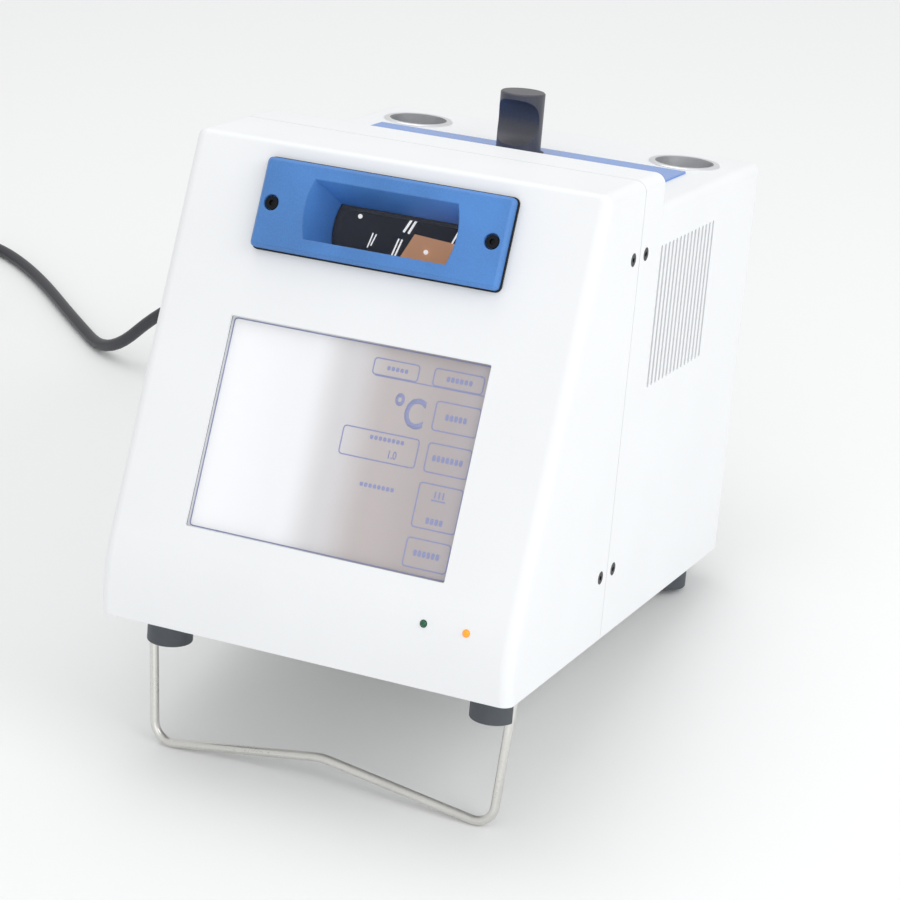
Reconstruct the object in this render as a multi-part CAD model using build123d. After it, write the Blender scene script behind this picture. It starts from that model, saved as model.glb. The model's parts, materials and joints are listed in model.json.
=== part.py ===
from build123d import *
import math
import os

# A bench melting point apparatus in millimetres.
# It is drawn level in the case frame: x to the right, y to the back, z up from the case
# bottom, with y = 0 at the front-most point. At the end it is tilted back to stand on its
# open bail and rear feet, with the origin under the middle of the standing instrument.

# Case
case_width = 190.5
case_depth = 262.0
front_height = 202.0
rear_height = 187.0
face_top_y = 62.5
chin_radius = 70.0
chin_front_z = 13.0
seam_y = 103.5
step_y = 127.0
seam_gap = 0.4
wall = 3.0
edge_radius = 5.0
brow_radius = 3.0
fit_gap = 0.3
pin_gap = 0.06
seam_lip_reach = 3.5
seam_lip_thickness = 1.2

# Base, side brackets and cover screws
base_thickness = 2.0
bracket_thickness = 2.0
bracket_width = 30.0
bracket_top_drop = 20.0
bracket_foot = 12.0
bracket_hole_radius = 5.0
cover_screw_spread = 15.0
cover_screw_low_z = 30.0
cover_screw_top_drop = 32.0
cover_screw_radius = 1.5
cover_head_radius = 2.9
boss_radius = 3.4

# Side vents
vent_count = 15
vent_pitch = 4.8
vent_width = 2.2
vent_height = 63.0
vent_step_offset = 38.0
vent_top_offset = 48.0

# Display, measured down the sloped face from its top edge
screen_width = 119.6
screen_height = 90.6
screen_w = 121.2
screen_recess = 1.4
glass_margin = 4.0
glass_thickness = 1.6
module_post_gap = 1.6
module_height = 106.0
module_thickness = 9.0
bracket_sheet = 1.2
display_post_inset = 15.25
display_post_span = 98.0
display_board_gap = 4.0
display_board_width = 122.0
display_board_height = 82.0
display_board_post_inset = 5.0
bracket_margin = 5.0
bracket_window_width = 100.0
bracket_window_height = 60.0
board_thickness = 1.6

# Magnifier bezel on the sloped face
bezel_width = 113.0
bezel_height = 38.6
bezel_w = 26.8
bezel_thickness = 4.2
bezel_chamfer = 1.4
bezel_corner = 2.2
gasket_thickness = 1.2
gasket_margin = 0.6
window_radius = 35.0
window_half_height = 12.8
throat_radius = 28.5
throat_half_height = 9.5
throat_drop = 3.0
funnel_depth = 13.0
funnel_wall = 1.6
bezel_screw_u = 50.4
bezel_counterbore = 3.45
bezel_counterbore_depth = 2.6

# Magnifier lens, its cap and the hood behind it
lens_edge = 5.0
lens_back_radius = 120.0
cap_wall = 2.0
hood_wall = 1.2
hood_near_width = 58.0
hood_near_height = 24.0
hood_far_width = 30.0
hood_far_height = 26.0

# Indicator lamps
ready_lamp_inset = 40.65
power_lamp_inset = 21.65
lamp_z = 28.0
lamp_radius = 1.5
lamp_length = 7.0
lamp_board_width = 42.0
lamp_board_height = 9.0
lamp_post_inset = 3.0
lamp_post_radius = 2.2

# Top plate, sample guide, plug and tube cups
plate_side_margin = 19.45
plate_rear_margin = 51.6
plate_thickness = 1.0
oven_rear_margin = 67.0
guide_radius = 11.4
guide_bore = 7.4
guide_depth = 12.0
plug_radius = 10.2
plug_height = 26.9
plug_spigot = 7.1
plug_spigot_length = 11.0
scoop_radius = 10.6
scoop_web = 2.2
scoop_middle = 12.9
cup_side_margin = 28.05
cup_rear_margin = 29.0
cup_rim_radius = 16.3
cup_rim_thickness = 0.8
cup_radius = 14.3
cup_depth = 26.0
cup_wall = 0.8

# Oven
block_radius = 12.0
block_height = 32.0
block_cover = 6.0
sleeve_width = 42.0
sleeve_length = 38.0
sleeve_drop = 15.0
sleeve_floor = 4.0
capillary_count = 3
capillary_pitch = 4.5
capillary_radius = 1.0
peep_width = 15.0
peep_height = 12.0
peep_rise = 18.0
heater_radius = 1.6
heater_x = 8.6
heater_length = 27.0
sensor_radius = 1.0
sensor_length = 18.0
shelf_thickness = 2.0
frame_supply_gap = 4.0
frame_length = 112.0
frame_rear_margin = 22.0
frame_leg = 12.0
ring_board_width = 32.0
ring_radius = 9.5
lamp_board_gap = 3.0
camera_barrel = 5.0
camera_length = 15.0

# Rear panel and what it carries
panel_thickness = 1.5
panel_window_side = 12.75
panel_window_low_z = 8.0
panel_window_top_drop = 11.0
rear_screw_side = 8.75
rear_screw_low_z = 14.0
rear_screw_top_drop = 17.0
inlet_side_margin = 43.25
inlet_z = 80.0
inlet_width = 30.0
inlet_height = 66.0
inlet_flange = 2.2
inlet_depth = 24.0
socket_width = 24.0
socket_height = 17.0
socket_depth = 16.0
drawer_rise = 19.0
drawer_width = 20.0
drawer_height = 7.0
drawer_depth = 20.0
rocker_rise = 35.0
rocker_width = 13.0
rocker_height = 19.0
rocker_rock = 6.0
rocker_proud = 1.4
rocker_pivot_depth = 4.0
rocker_pin = 1.2
rocker_pin_reach = 1.2
fan_side_margin = 51.25
fan_drop = 69.0
fan_size = 60.0
fan_depth = 15.0
fan_bore = 28.5
fan_hub = 12.5
fan_blades = 7
fan_hole_pitch = 50.0
usb_offset = 9.0
serial_offset = 34.0
pan_head_radius = 2.75
pan_head_height = 1.8
pan_screw_length = 8.0
hex_radius = 1.4
hex_depth = 1.1

# Boards and power supply
board_z = 10.0
board_side_margin = 11.25
board_width = 51.0
board_length = 186.2
board_rear_gap = 1.0
standoff_radius = 2.8
standoff_inset = 5.0
standoff_bracket_gap = 1.0
standoff_rear_inset = 22.0
supply_side_margin = 9.25
supply_width = 52.0
supply_bracket_gap = 9.3
supply_rear_gap = 21.2
supply_slot_pitch = 10.0
supply_slot_inset = 14.0
supply_height = 38.0

# Feet and bail
foot_radius = 10.0
foot_height = 17.7
foot_edge = 0.8
foot_side_margin = 18.55
front_foot_y = 32.0
rear_foot_margin = 19.5
foot_bore = 3.6
foot_cap = 8.5
foot_screw_reach = 1.5
bail_wire = 2.0
bail_pivot_z = -6.0
bail_top_offset = 8.7
bail_foot_offset = 4.2
bail_length = 60.4
bail_rise = 12.1
bail_corner = 9.0
bail_pin_offset = 3.0

# Power lead
cord_radius = 3.3
connector_body = 32.0
relief_length = 28.0
relief_radius = 5.6
relief_end_radius = 4.3
relief_pitch = 5.5
relief_groove = 1.6
coil_middle_radius = 36.5
coil_x = -502.0
coil_y = 249.0
coil_layers = 2
coil_half_width = 13.2
coil_lead = 34.0
coil_chamfer = 1.4
tie_width = 14.0
tie_thickness = 0.9
tie_proud = 0.3
plug_relief = 24.0
plug_body = 30.0
blade_spread = 12.7
blade_width = 6.3
blade_thickness = 1.5
blade_length = 17.0
earth_offset = 11.9
earth_radius = 2.4

# Angles and places worked out from the sizes above
brow_reach = math.hypot(face_top_y - chin_radius, front_height - chin_front_z)
lean = math.asin(chin_radius / brow_reach) + math.atan2(
    face_top_y - chin_radius, front_height - chin_front_z)
half_width = case_width / 2
inner_half = half_width - wall
inner_top = front_height - wall
inner_roof = rear_height - wall
rear_wall_y = case_depth - wall
panel_y = rear_wall_y - fit_gap - panel_thickness
plate_top_z = rear_height + plate_thickness
bracket_middle_y = seam_y + seam_gap / 2
bracket_top_z = front_height - bracket_top_drop
cover_screw_z = (cover_screw_low_z, front_height - cover_screw_top_drop)
vent_middle_y = step_y + vent_step_offset
vent_middle_z = rear_height - vent_top_offset
display_post_u = half_width - display_post_inset
module_width = 2 * (display_post_u - boss_radius - module_post_gap)
lamp_u = (half_width - ready_lamp_inset, half_width - power_lamp_inset)
plate_half_width = half_width - plate_side_margin
plate_rear_y = case_depth - plate_rear_margin
oven_y = case_depth - oven_rear_margin
guide_floor_z = plate_top_z - guide_depth
cup_x = half_width - cup_side_margin
cup_y = case_depth - cup_rear_margin
sleeve_top_z = rear_height - sleeve_drop
block_top_z = sleeve_top_z - block_cover
block_bottom_z = block_top_z - block_height
peep_z = block_bottom_z + peep_rise
shelf_z = block_bottom_z - sleeve_floor
supply_x = (supply_side_margin - half_width, supply_side_margin - half_width + supply_width)
supply_y = (bracket_middle_y + bracket_width / 2 + supply_bracket_gap, panel_y - supply_rear_gap)
frame_width = -2 * (supply_x[1] + frame_supply_gap)
frame_rear_y = case_depth - frame_rear_margin
frame_front_y = frame_rear_y - frame_length
inlet_x = inlet_side_margin - half_width
fan_x = half_width - fan_side_margin
fan_z = rear_height - fan_drop
panel_window_half = half_width - panel_window_side
panel_window_z = (panel_window_low_z, rear_height - panel_window_top_drop)
rear_screw_x = half_width - rear_screw_side
rear_screw_z = (rear_screw_low_z, rear_height - rear_screw_top_drop)
board_x = (half_width - board_side_margin - board_width, half_width - board_side_margin)
board_y = (panel_y - board_rear_gap - board_length, panel_y - board_rear_gap)
bracket_outer = inner_half - 2 * fit_gap - seam_lip_thickness
bracket_inner = bracket_outer - bracket_foot
usb_x = board_x[0] + usb_offset
serial_x = board_x[0] + serial_offset
foot_x = half_width - foot_side_margin
rear_foot_y = case_depth - rear_foot_margin
bail_top_x = foot_x + bail_top_offset
bail_foot_x = foot_x + bail_foot_offset
bail_pin_end = foot_x + bail_pin_offset
face = Plane(
    origin=(0, face_top_y, front_height),
    x_dir=(1, 0, 0),
    z_dir=(0, -math.cos(lean), math.sin(lean)))
chin_bottom_y = chin_radius - math.sqrt(chin_radius ** 2 - chin_front_z ** 2)

# The bail touches the table at the lowest point of its rounded corners, the rear feet on
# their rounded rear edges, so the tilt follows from two circles that rest on one line.
bail_corner_z = bail_pivot_z - bail_length
leg_angle = math.atan2(bail_length, bail_top_x - bail_foot_x)
bar_angle = math.pi - math.atan2(bail_rise, bail_foot_x)
corner_reach = bail_corner / math.sin((bar_angle - leg_angle) / 2)
bail_low_z = bail_corner_z + corner_reach * math.sin((bar_angle + leg_angle) / 2) - bail_corner
rear_rest_y = rear_foot_y + foot_radius - foot_edge
rear_rest_z = foot_edge - foot_height
rest_run = rear_rest_y - front_foot_y
rest_drop = rear_rest_z - bail_low_z
tilt = math.atan2(rest_drop, rest_run) + math.asin(
    (bail_wire - foot_edge) / math.hypot(rest_run, rest_drop))


def standing(y, z):
    """Return where a point of the case's side view stands, before it is centred."""
    up = rear_rest_y * math.sin(tilt) - rear_rest_z * math.cos(tilt) + foot_edge
    return (
        y * math.cos(tilt) + z * math.sin(tilt),
        -y * math.sin(tilt) + z * math.cos(tilt) + up)


stand_front = standing(chin_bottom_y, 0)[0]
stand_back = standing(case_depth, rear_height)[0]
stand_middle = (stand_front + stand_back) / 2
stand_lift = standing(0, 0)[1]
stand = Pos(0, -stand_middle, stand_lift) * Rot(-math.degrees(tilt), 0, 0)


def block(x, y, z):
    """Return a box between the two values given along each axis."""
    sizes = (x[1] - x[0], y[1] - y[0], z[1] - z[0])
    return Pos((x[0] + x[1]) / 2, (y[0] + y[1]) / 2, (z[0] + z[1]) / 2) * Box(*sizes)


def rod(radius, start, end):
    """Return a round bar from one point to another."""
    way = Vector(*end) - Vector(*start)
    axis = Plane(origin=start, z_dir=way)
    return axis * Cylinder(radius, way.length, align=(Align.CENTER, Align.CENTER, Align.MIN))


def on_face(u, w, depth):
    """Return a place on the sloped face: u to the right, w down from its top edge."""
    return face * Pos(u, -w, depth)


def sheet(width, height, thickness, corner=0.0):
    """Return a flat plate that is centred in its plane and rises from it."""
    outline = RectangleRounded(width, height, corner) if corner else Rectangle(width, height)
    return extrude(outline, amount=thickness)


def drum(radius, length):
    """Return a cylinder that rises from its plane."""
    return Cylinder(radius, length, align=(Align.CENTER, Align.CENTER, Align.MIN))


def pan_screw(place, shank):
    """Return a pan head screw: its head rises from its place, its shank goes below."""
    head = place * drum(pan_head_radius, pan_head_height)
    rise = pan_head_height - hex_depth
    socket = place * Pos(0, 0, rise) * extrude(RegularPolygon(hex_radius, 6), amount=pan_head_height)
    return head + place * Pos(0, 0, -shank) * drum(cover_screw_radius, shank) - socket


def bevelled(width, height, cut):
    """Return a rectangle with its corners cut off."""
    return chamfer(Rectangle(width, height).vertices(), cut)


def cover_screw_ys():
    """Return the screw places either side of the seam."""
    half = cover_screw_spread / 2
    return (bracket_middle_y - half, bracket_middle_y + half)


# Covers


def front_outline(inset, back_y, floor_z):
    """Return the side view of the front cover, moved inwards by inset."""
    radius = chin_radius - inset
    tangent_y = chin_radius - radius * math.cos(lean)
    tangent_z = chin_front_z + radius * math.sin(lean)
    top_z = front_height - inset
    top_y = tangent_y + (top_z - tangent_z) * math.tan(lean)
    bottom_y = chin_radius - math.sqrt(radius ** 2 - (chin_front_z - floor_z) ** 2)
    chin = ThreePointArc(
        (bottom_y, floor_z), (chin_radius - radius, chin_front_z), (tangent_y, tangent_z))
    rest = Polyline(
        (tangent_y, tangent_z), (top_y, top_z), (back_y, top_z),
        (back_y, floor_z), (bottom_y, floor_z))
    return Plane.YZ * make_face(chin + rest)


def front_block(inset, back_y, floor_z):
    """Return the front of the case as a solid with its side edges rounded."""
    solid = extrude(front_outline(inset, back_y, floor_z), amount=half_width - inset, both=True)
    if inset == 0:
        brow = solid.edges().sort_by_distance((0, face_top_y, front_height))[0]
        solid = fillet(brow, brow_radius)
    corners = [
        edge for edge in solid.edges()
        if abs(abs(edge.center().X) - half_width + inset) < 0.05
        and edge.center().Y < back_y - 1 and edge.center().Z > floor_z + 1]
    return fillet(corners, max(edge_radius - inset, 1.0))


def cover_screw_cuts(y):
    """Return the countersunk holes for the cover screws at one distance from the front."""
    cuts = []
    for side in (-1, 1):
        for z in cover_screw_z:
            outer = (side * (half_width + 1), y, z)
            cuts.append(rod(cover_screw_radius + fit_gap, (side * (inner_half - 4), y, z), outer))
            sink = Plane(origin=(side * half_width, y, z), z_dir=(-side, 0, 0))
            height = cover_head_radius - cover_screw_radius
            cone = Cone(
                cover_head_radius + 0.1, cover_screw_radius + 0.1, height,
                align=(Align.CENTER, Align.CENTER, Align.MIN))
            cuts.append(sink * cone)
    return cuts


def lamp_plane(u):
    """Return the plane on the chin where an indicator lamp comes through."""
    angle = math.asin((lamp_z - chin_front_z) / chin_radius)
    y = chin_radius - chin_radius * math.cos(angle)
    return Plane(
        origin=(u, y, lamp_z), x_dir=(1, 0, 0),
        z_dir=(0, -math.cos(angle), math.sin(angle)))


def display_posts():
    """Return the four places of the display's fixing posts, as (u, w)."""
    rows = (screen_w - display_post_span / 2, screen_w + display_post_span / 2)
    return [(u, w) for u in (-display_post_u, display_post_u) for w in rows]


def make_front_cover():
    """Return the moulded front cover with its windows, posts and screw bosses."""
    cover = front_block(0, seam_y, 0) - front_block(wall, seam_y + 1, -1)
    window = on_face(0, screen_w, -wall - 1) * sheet(screen_width, screen_height, wall + 2, 0.8)
    pocket = on_face(0, screen_w, -wall - 1) * sheet(
        screen_width + 2 * glass_margin + 2 * fit_gap,
        screen_height + 2 * glass_margin + 2 * fit_gap,
        wall + 1 - screen_recess)
    cover = cover - window - pocket
    hole_top = bezel_w - window_half_height - 1.0
    hole_bottom = bezel_w + window_half_height + funnel_wall + 1.2
    funnel_hole = on_face(0, (hole_top + hole_bottom) / 2, -wall - 1) * sheet(
        2 * window_radius + 2, hole_bottom - hole_top, wall + 2, 3)
    cover -= funnel_hole
    for u in (-bezel_screw_u, bezel_screw_u):
        cover += on_face(u, bezel_w, -wall - 6) * drum(boss_radius, 6.5)
        cover -= on_face(u, bezel_w, -wall - 7) * drum(cover_screw_radius + 0.1, wall + 9)
    depth = screen_recess + glass_thickness + module_thickness + 2 * fit_gap
    for u, w in display_posts():
        cover += on_face(u, w, -depth) * drum(boss_radius, depth - wall + 0.5)
        cover -= on_face(u, w, -depth - 1) * drum(cover_screw_radius + 0.1, 8)
    for u in lamp_u:
        cover -= Location(lamp_plane(u)) * Pos(0, 0, -wall - 2) * drum(
            lamp_radius + 0.15, wall + 4)
    for side in (-1, 1):
        post_u = sum(lamp_u) / 2 + side * (lamp_board_width / 2 - lamp_post_inset)
        post = Location(lamp_plane(post_u)) * Pos(0, 0, -lamp_length)
        cover += post * drum(lamp_post_radius, lamp_length - wall + 0.5)
    for cut in cover_screw_cuts(cover_screw_ys()[0]):
        cover -= cut
    return cover


def rear_outline(inset, front_y, back_y, floor_z):
    """Return the side view of the rear cover with its step, moved inwards by inset."""
    return Plane.YZ * make_face(Polyline(
        (front_y, floor_z), (front_y, front_height - inset),
        (step_y - inset, front_height - inset), (step_y - inset, rear_height - inset),
        (back_y, rear_height - inset), (back_y, floor_z), (front_y, floor_z)))


def rear_block(inset, front_y, back_y, floor_z):
    """Return the rear of the case as a solid with its outer edges rounded."""
    solid = extrude(
        rear_outline(inset, front_y, back_y, floor_z), amount=half_width - inset, both=True)
    sides = [
        edge for edge in solid.edges()
        if abs(abs(edge.center().X) - half_width + inset) < 0.05
        and edge.center().Y > front_y + 1 and edge.center().Z > floor_z + 1
        and not (abs(edge.center().Y - step_y + inset) < 0.05)]
    radius = max(edge_radius - inset, 1.0)
    return fillet(sides, radius)


def vent_cuts():
    """Return the row of upright vent slots, through both sides at once."""
    first = vent_middle_y - vent_pitch * (vent_count - 1) / 2
    slot = Plane.YZ * SlotOverall(vent_height, vent_width, rotation=90)
    cuts = []
    for number in range(vent_count):
        row = Pos(0, first + number * vent_pitch, vent_middle_z) * slot
        cuts.append(extrude(row, amount=half_width + 1, both=True))
    return cuts


def make_rear_cover():
    """Return the moulded rear cover with its raised collar, vents and openings."""
    front_y = seam_y + seam_gap
    cover = rear_block(0, front_y, case_depth, 0)
    cover -= rear_block(wall, front_y - 1, rear_wall_y, -1)
    lip_inset = wall + fit_gap
    lip_back = front_y + seam_lip_reach - 1
    inside = lip_inset + seam_lip_thickness
    lip = seam_slab(lip_inset, seam_y - seam_lip_reach, lip_back)
    lip += seam_slab(wall - 0.5, front_y, lip_back)
    cover += lip - seam_slab(inside, seam_y - seam_lip_reach - 1, lip_back + 1)
    window_height = panel_window_z[1] - panel_window_z[0]
    window_z = (panel_window_z[1] + panel_window_z[0]) / 2
    window = Plane(origin=(0, rear_wall_y - 1, window_z), x_dir=(-1, 0, 0), z_dir=(0, 1, 0))
    cover -= window * sheet(2 * panel_window_half, window_height, wall + 2, 4)
    for cut in vent_cuts():
        cover -= cut
    for cut in cover_screw_cuts(cover_screw_ys()[1]):
        cover -= cut
    cover -= Pos(0, oven_y, inner_roof - 1) * drum(guide_radius + fit_gap, wall + 2)
    for x in (-cup_x, cup_x):
        cover -= Pos(x, cup_y, inner_roof - 1) * drum(cup_radius + fit_gap, wall + 2)
    for x, z in rear_screw_places():
        cover -= rod(cover_screw_radius + 0.2, (x, rear_wall_y - 1, z), (x, case_depth + 1, z))
    return cover


def seam_slab(inset, front_y, back_y):
    """Return a slab across the case at the seam, inset from the outside, its top rounded."""
    half = half_width - inset
    zs = (base_thickness + fit_gap, front_height - inset)
    slab = block((-half, half), (front_y, back_y), zs)
    corners = slab.edges().filter_by(Axis.Y).group_by(Axis.Z)[-1]
    return fillet(corners, max(edge_radius - wall, 1.0))


def make_chassis_base():
    """Return the base sheet with its folded rear flange and underside vents."""
    front_y = chin_bottom_y + wall + 1.0
    base = block(
        (-inner_half + fit_gap, inner_half - fit_gap),
        (front_y, panel_y - fit_gap), (0, base_thickness))
    base += block(
        (-inner_half + 6, inner_half - 6),
        (panel_y - fit_gap - 1.6, panel_y - fit_gap), (0, 9.0))
    for number in range(6):
        x = -35 + number * 14.0
        slot = Pos(x, 0, -1) * extrude(SlotOverall(44, 4, rotation=90), amount=base_thickness + 2)
        base -= Pos(0, 105, 0) * slot
    for x in (-foot_x, foot_x):
        for y in (front_foot_y, rear_foot_y):
            base -= Pos(x, y, -1) * drum(1.7, base_thickness + 2)
    return base


def make_side_bracket(side):
    """Return the upright that both covers are screwed to on one side."""
    outer = bracket_outer
    ys = (bracket_middle_y - bracket_width / 2, bracket_middle_y + bracket_width / 2)
    upright = block((outer - bracket_thickness, outer), ys, (base_thickness, bracket_top_z))
    foot = block((bracket_inner, outer), ys, (base_thickness, 2 * base_thickness))
    bracket = upright + foot
    for y in cover_screw_ys():
        for z in cover_screw_z:
            bracket += rod(boss_radius, (outer - 6, y, z), (inner_half - 0.1, y, z))
            bracket -= rod(cover_screw_radius + 0.1, (outer - 7, y, z), (inner_half + 1, y, z))
    for z in (80.0, 120.0):
        bracket -= rod(
            bracket_hole_radius, (outer - 4, bracket_middle_y, z), (outer + 1, bracket_middle_y, z))
    return bracket if side > 0 else mirror(bracket, about=Plane.YZ)


def make_cover_screws():
    """Return the eight countersunk screws either side of the seam."""
    screws = []
    height = cover_head_radius - cover_screw_radius
    for side in (-1, 1):
        for y in cover_screw_ys():
            for z in cover_screw_z:
                head = Plane(origin=(side * half_width, y, z), z_dir=(-side, 0, 0))
                screw = head * Cone(
                    cover_head_radius, cover_screw_radius, height,
                    align=(Align.CENTER, Align.CENTER, Align.MIN))
                screw += head * drum(cover_screw_radius, 10.0)
                screw -= head * extrude(RegularPolygon(1.15, 6), amount=1.2)
                screws.append(screw)
    return screws


# Magnifier


def truncated_disc(radius, half_height):
    """Return a circle with its top and bottom cut off straight."""
    return Circle(radius) & Rectangle(2 * radius + 2, 2 * half_height)


def funnel(grow):
    """Return the tapered viewing funnel, its outline made larger by grow."""
    front = on_face(0, bezel_w, gasket_thickness + bezel_thickness)
    back = on_face(0, bezel_w + throat_drop, -funnel_depth)
    return loft([
        front * truncated_disc(window_radius + grow, window_half_height + grow),
        back * truncated_disc(throat_radius + grow, throat_half_height + grow)])


def make_bezel():
    """Return the blue bezel: a chamfered plate with the funnel behind its window."""
    plate = sheet(bezel_width, bezel_height, bezel_thickness, bezel_corner)
    rim = plate.faces().sort_by(Axis.Z)[-1].edges()
    plate = chamfer(rim, bezel_chamfer)
    plate = on_face(0, bezel_w, gasket_thickness) * plate
    front = gasket_thickness + bezel_thickness
    keep = on_face(0, bezel_w, -funnel_depth) * sheet(bezel_width, 60, funnel_depth + front - 0.5)
    bezel = plate + (funnel(funnel_wall) & keep)
    bezel -= funnel(0)
    for u in (-bezel_screw_u, bezel_screw_u):
        bezel -= on_face(u, bezel_w, gasket_thickness - 1) * drum(
            cover_screw_radius + 0.25, bezel_thickness + 2)
        bezel -= on_face(u, bezel_w, front - bezel_counterbore_depth) * drum(
            bezel_counterbore, bezel_counterbore_depth + 1)
    return bezel


def make_bezel_gasket():
    """Return the thin black gasket under the bezel."""
    gasket = on_face(0, bezel_w, 0) * sheet(
        bezel_width + 2 * gasket_margin, bezel_height + 2 * gasket_margin,
        gasket_thickness, bezel_corner + gasket_margin)
    gasket -= on_face(0, bezel_w + 0.6, -1) * sheet(
        2 * window_radius + 2, 2 * window_half_height + 4.4, gasket_thickness + 2, 3)
    for u in (-bezel_screw_u, bezel_screw_u):
        gasket -= on_face(u, bezel_w, -1) * drum(cover_screw_radius + 0.4, gasket_thickness + 2)
    return gasket


def make_bezel_screws():
    """Return the two cap screws in the bezel's counterbores."""
    seat = gasket_thickness + bezel_thickness - bezel_counterbore_depth
    return [
        pan_screw(on_face(u, bezel_w, seat), pan_screw_length)
        for u in (-bezel_screw_u, bezel_screw_u)]


def make_lens():
    """Return the magnifier lens: flat in front, domed behind, cut off above and below."""
    front = on_face(0, bezel_w + throat_drop, -funnel_depth - lens_edge)
    outline = truncated_disc(throat_radius + funnel_wall - 0.2, throat_half_height + funnel_wall)
    blank = front * extrude(outline, amount=lens_edge - 0.1)
    centre = on_face(0, bezel_w + throat_drop, -funnel_depth - lens_edge + lens_back_radius)
    return blank & (centre * Sphere(lens_back_radius))


def make_lens_cap():
    """Return the cap that slips over the funnel's end and holds the lens."""
    clear = funnel_wall + 1.2
    radius = throat_radius + clear
    half = throat_half_height + clear
    back = -funnel_depth - lens_edge - cap_wall
    place = on_face(0, bezel_w + throat_drop, back)
    outer = place * extrude(
        truncated_disc(radius + cap_wall, half + cap_wall), amount=lens_edge + cap_wall + 2)
    pocket = place * Pos(0, 0, cap_wall) * extrude(
        truncated_disc(radius, half), amount=lens_edge + 4)
    hole = place * Pos(0, 0, -1) * extrude(
        truncated_disc(throat_radius - 1, throat_half_height - 1), amount=cap_wall + 2)
    return outer - pocket - hole


def make_view_hood():
    """Return the dark hood that leads from the lens to the oven's front window."""
    back = -funnel_depth - lens_edge - cap_wall - fit_gap
    near = on_face(0, bezel_w + throat_drop, back)
    sleeve_front = oven_y - sleeve_length / 2
    far = Plane(
        origin=(0, sleeve_front - fit_gap, peep_z), x_dir=(1, 0, 0), z_dir=(0, -1, 0))
    outer = loft([
        near * Rectangle(hood_near_width, hood_near_height),
        far * Rectangle(hood_far_width, hood_far_height)], ruled=True)
    walls = 2 * hood_wall
    inner = loft([
        near * Pos(0, 0, 1) * Rectangle(hood_near_width - walls, hood_near_height - walls),
        far * Pos(0, 0, -1) * Rectangle(hood_far_width - walls, hood_far_height - walls)], ruled=True)
    return outer - inner


# Display


def make_touch_glass():
    """Return the touch glass behind the front cover's window."""
    return on_face(0, screen_w, -screen_recess - glass_thickness) * sheet(
        screen_width + 2 * glass_margin, screen_height + 2 * glass_margin, glass_thickness)


def make_lcd_module():
    """Return the display module in its metal frame."""
    front = -wall - fit_gap
    module = on_face(0, screen_w, front - module_thickness) * sheet(
        module_width, module_height, module_thickness, 1.5)
    module -= on_face(0, screen_w, front - 0.8) * sheet(screen_width + 2, screen_height + 2, 2)
    return module


def display_bracket_depth():
    """Return the depth of the display bracket's back."""
    return -wall - module_thickness - 2 * fit_gap - bracket_sheet


def display_board_posts():
    """Return the four places of the driver board's posts, as (u, w)."""
    across = display_board_width / 2 - display_board_post_inset
    down = display_board_height / 2 - display_board_post_inset
    return [(u, w) for u in (-across, across) for w in (screen_w - down, screen_w + down)]


def make_display_bracket():
    """Return the sheet that clamps the display module on the cover's posts."""
    depth = display_bracket_depth()
    bracket = on_face(0, screen_w, depth) * sheet(
        2 * (display_post_u + bracket_margin), display_post_span + 2 * bracket_margin,
        bracket_sheet, 3)
    bracket -= on_face(0, screen_w, depth - 1) * sheet(
        bracket_window_width, bracket_window_height, bracket_sheet + 2, 4)
    for u, w in display_posts():
        bracket -= on_face(u, w, depth - 1) * drum(cover_screw_radius + fit_gap, 4)
    for u, w in display_board_posts():
        bracket += on_face(u, w, depth - display_board_gap) * drum(standoff_radius, display_board_gap)
    return bracket


def make_display_screws():
    """Return the four screws that hold the display bracket."""
    depth = display_bracket_depth()
    return [
        pan_screw(on_face(u, w, depth) * Rot(180, 0, 0), pan_screw_length - 1)
        for u, w in display_posts()]


def make_display_board():
    """Return the display driver board with its chips and connectors."""
    depth = display_bracket_depth() - display_board_gap - board_thickness
    board = on_face(0, screen_w, depth) * sheet(
        display_board_width, display_board_height, board_thickness, 2)
    chips = (
        (-20, 10, 24, 24, 2.4), (22, 14, 14, 10, 2.0), (40, -24, 30, 8, 6.0),
        (-44, -20, 10, 22, 5.0))
    for u, v, width, height, tall in chips:
        board += on_face(u, screen_w - v, depth - tall) * sheet(width, height, tall + 0.2)
    return board


# Indicator lamps


def make_lamp(u):
    """Return one indicator lamp: a domed round body with a flange behind the wall."""
    place = Location(lamp_plane(u))
    body = place * Pos(0, 0, -lamp_length) * drum(lamp_radius, lamp_length - 0.4)
    body += place * Pos(0, 0, -0.4) * (Sphere(lamp_radius) & Pos(0, 0, 2) * Box(6, 6, 4))
    body += place * Pos(0, 0, -wall - 1.6) * drum(lamp_radius + 0.5, 1.2)
    return body


def make_lamp_board():
    """Return the small board behind the indicator lamps."""
    middle = sum(lamp_u) / 2
    place = Location(lamp_plane(middle)) * Pos(0, 0, -lamp_length - board_thickness)
    return place * sheet(lamp_board_width, lamp_board_height, board_thickness, 1)


# Top of the case


def make_top_plate():
    """Return the blue plate on the lower rear top."""
    front_y = step_y + fit_gap
    plate = block(
        (-plate_half_width, plate_half_width), (front_y, plate_rear_y),
        (rear_height, plate_top_z))
    hole = Pos(0, oven_y, rear_height - 1) * drum(guide_radius + fit_gap, plate_thickness + 2)
    return plate - hole


def capillary_xs():
    """Return the sideways places of the capillary bores."""
    first = -capillary_pitch * (capillary_count - 1) / 2
    return [first + number * capillary_pitch for number in range(capillary_count)]


def make_sample_guide():
    """Return the guide that leads the capillaries from the top plate to the oven."""
    guide = Pos(0, oven_y, sleeve_top_z) * drum(guide_radius, plate_top_z - sleeve_top_z)
    guide += Pos(0, oven_y, sleeve_top_z) * drum(guide_radius + 5, 3.0)
    guide -= Pos(0, oven_y, guide_floor_z) * drum(guide_bore, plate_top_z)
    for x in capillary_xs():
        guide -= Pos(x, oven_y, sleeve_top_z - 1) * drum(capillary_radius, 20)
    return guide


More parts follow.
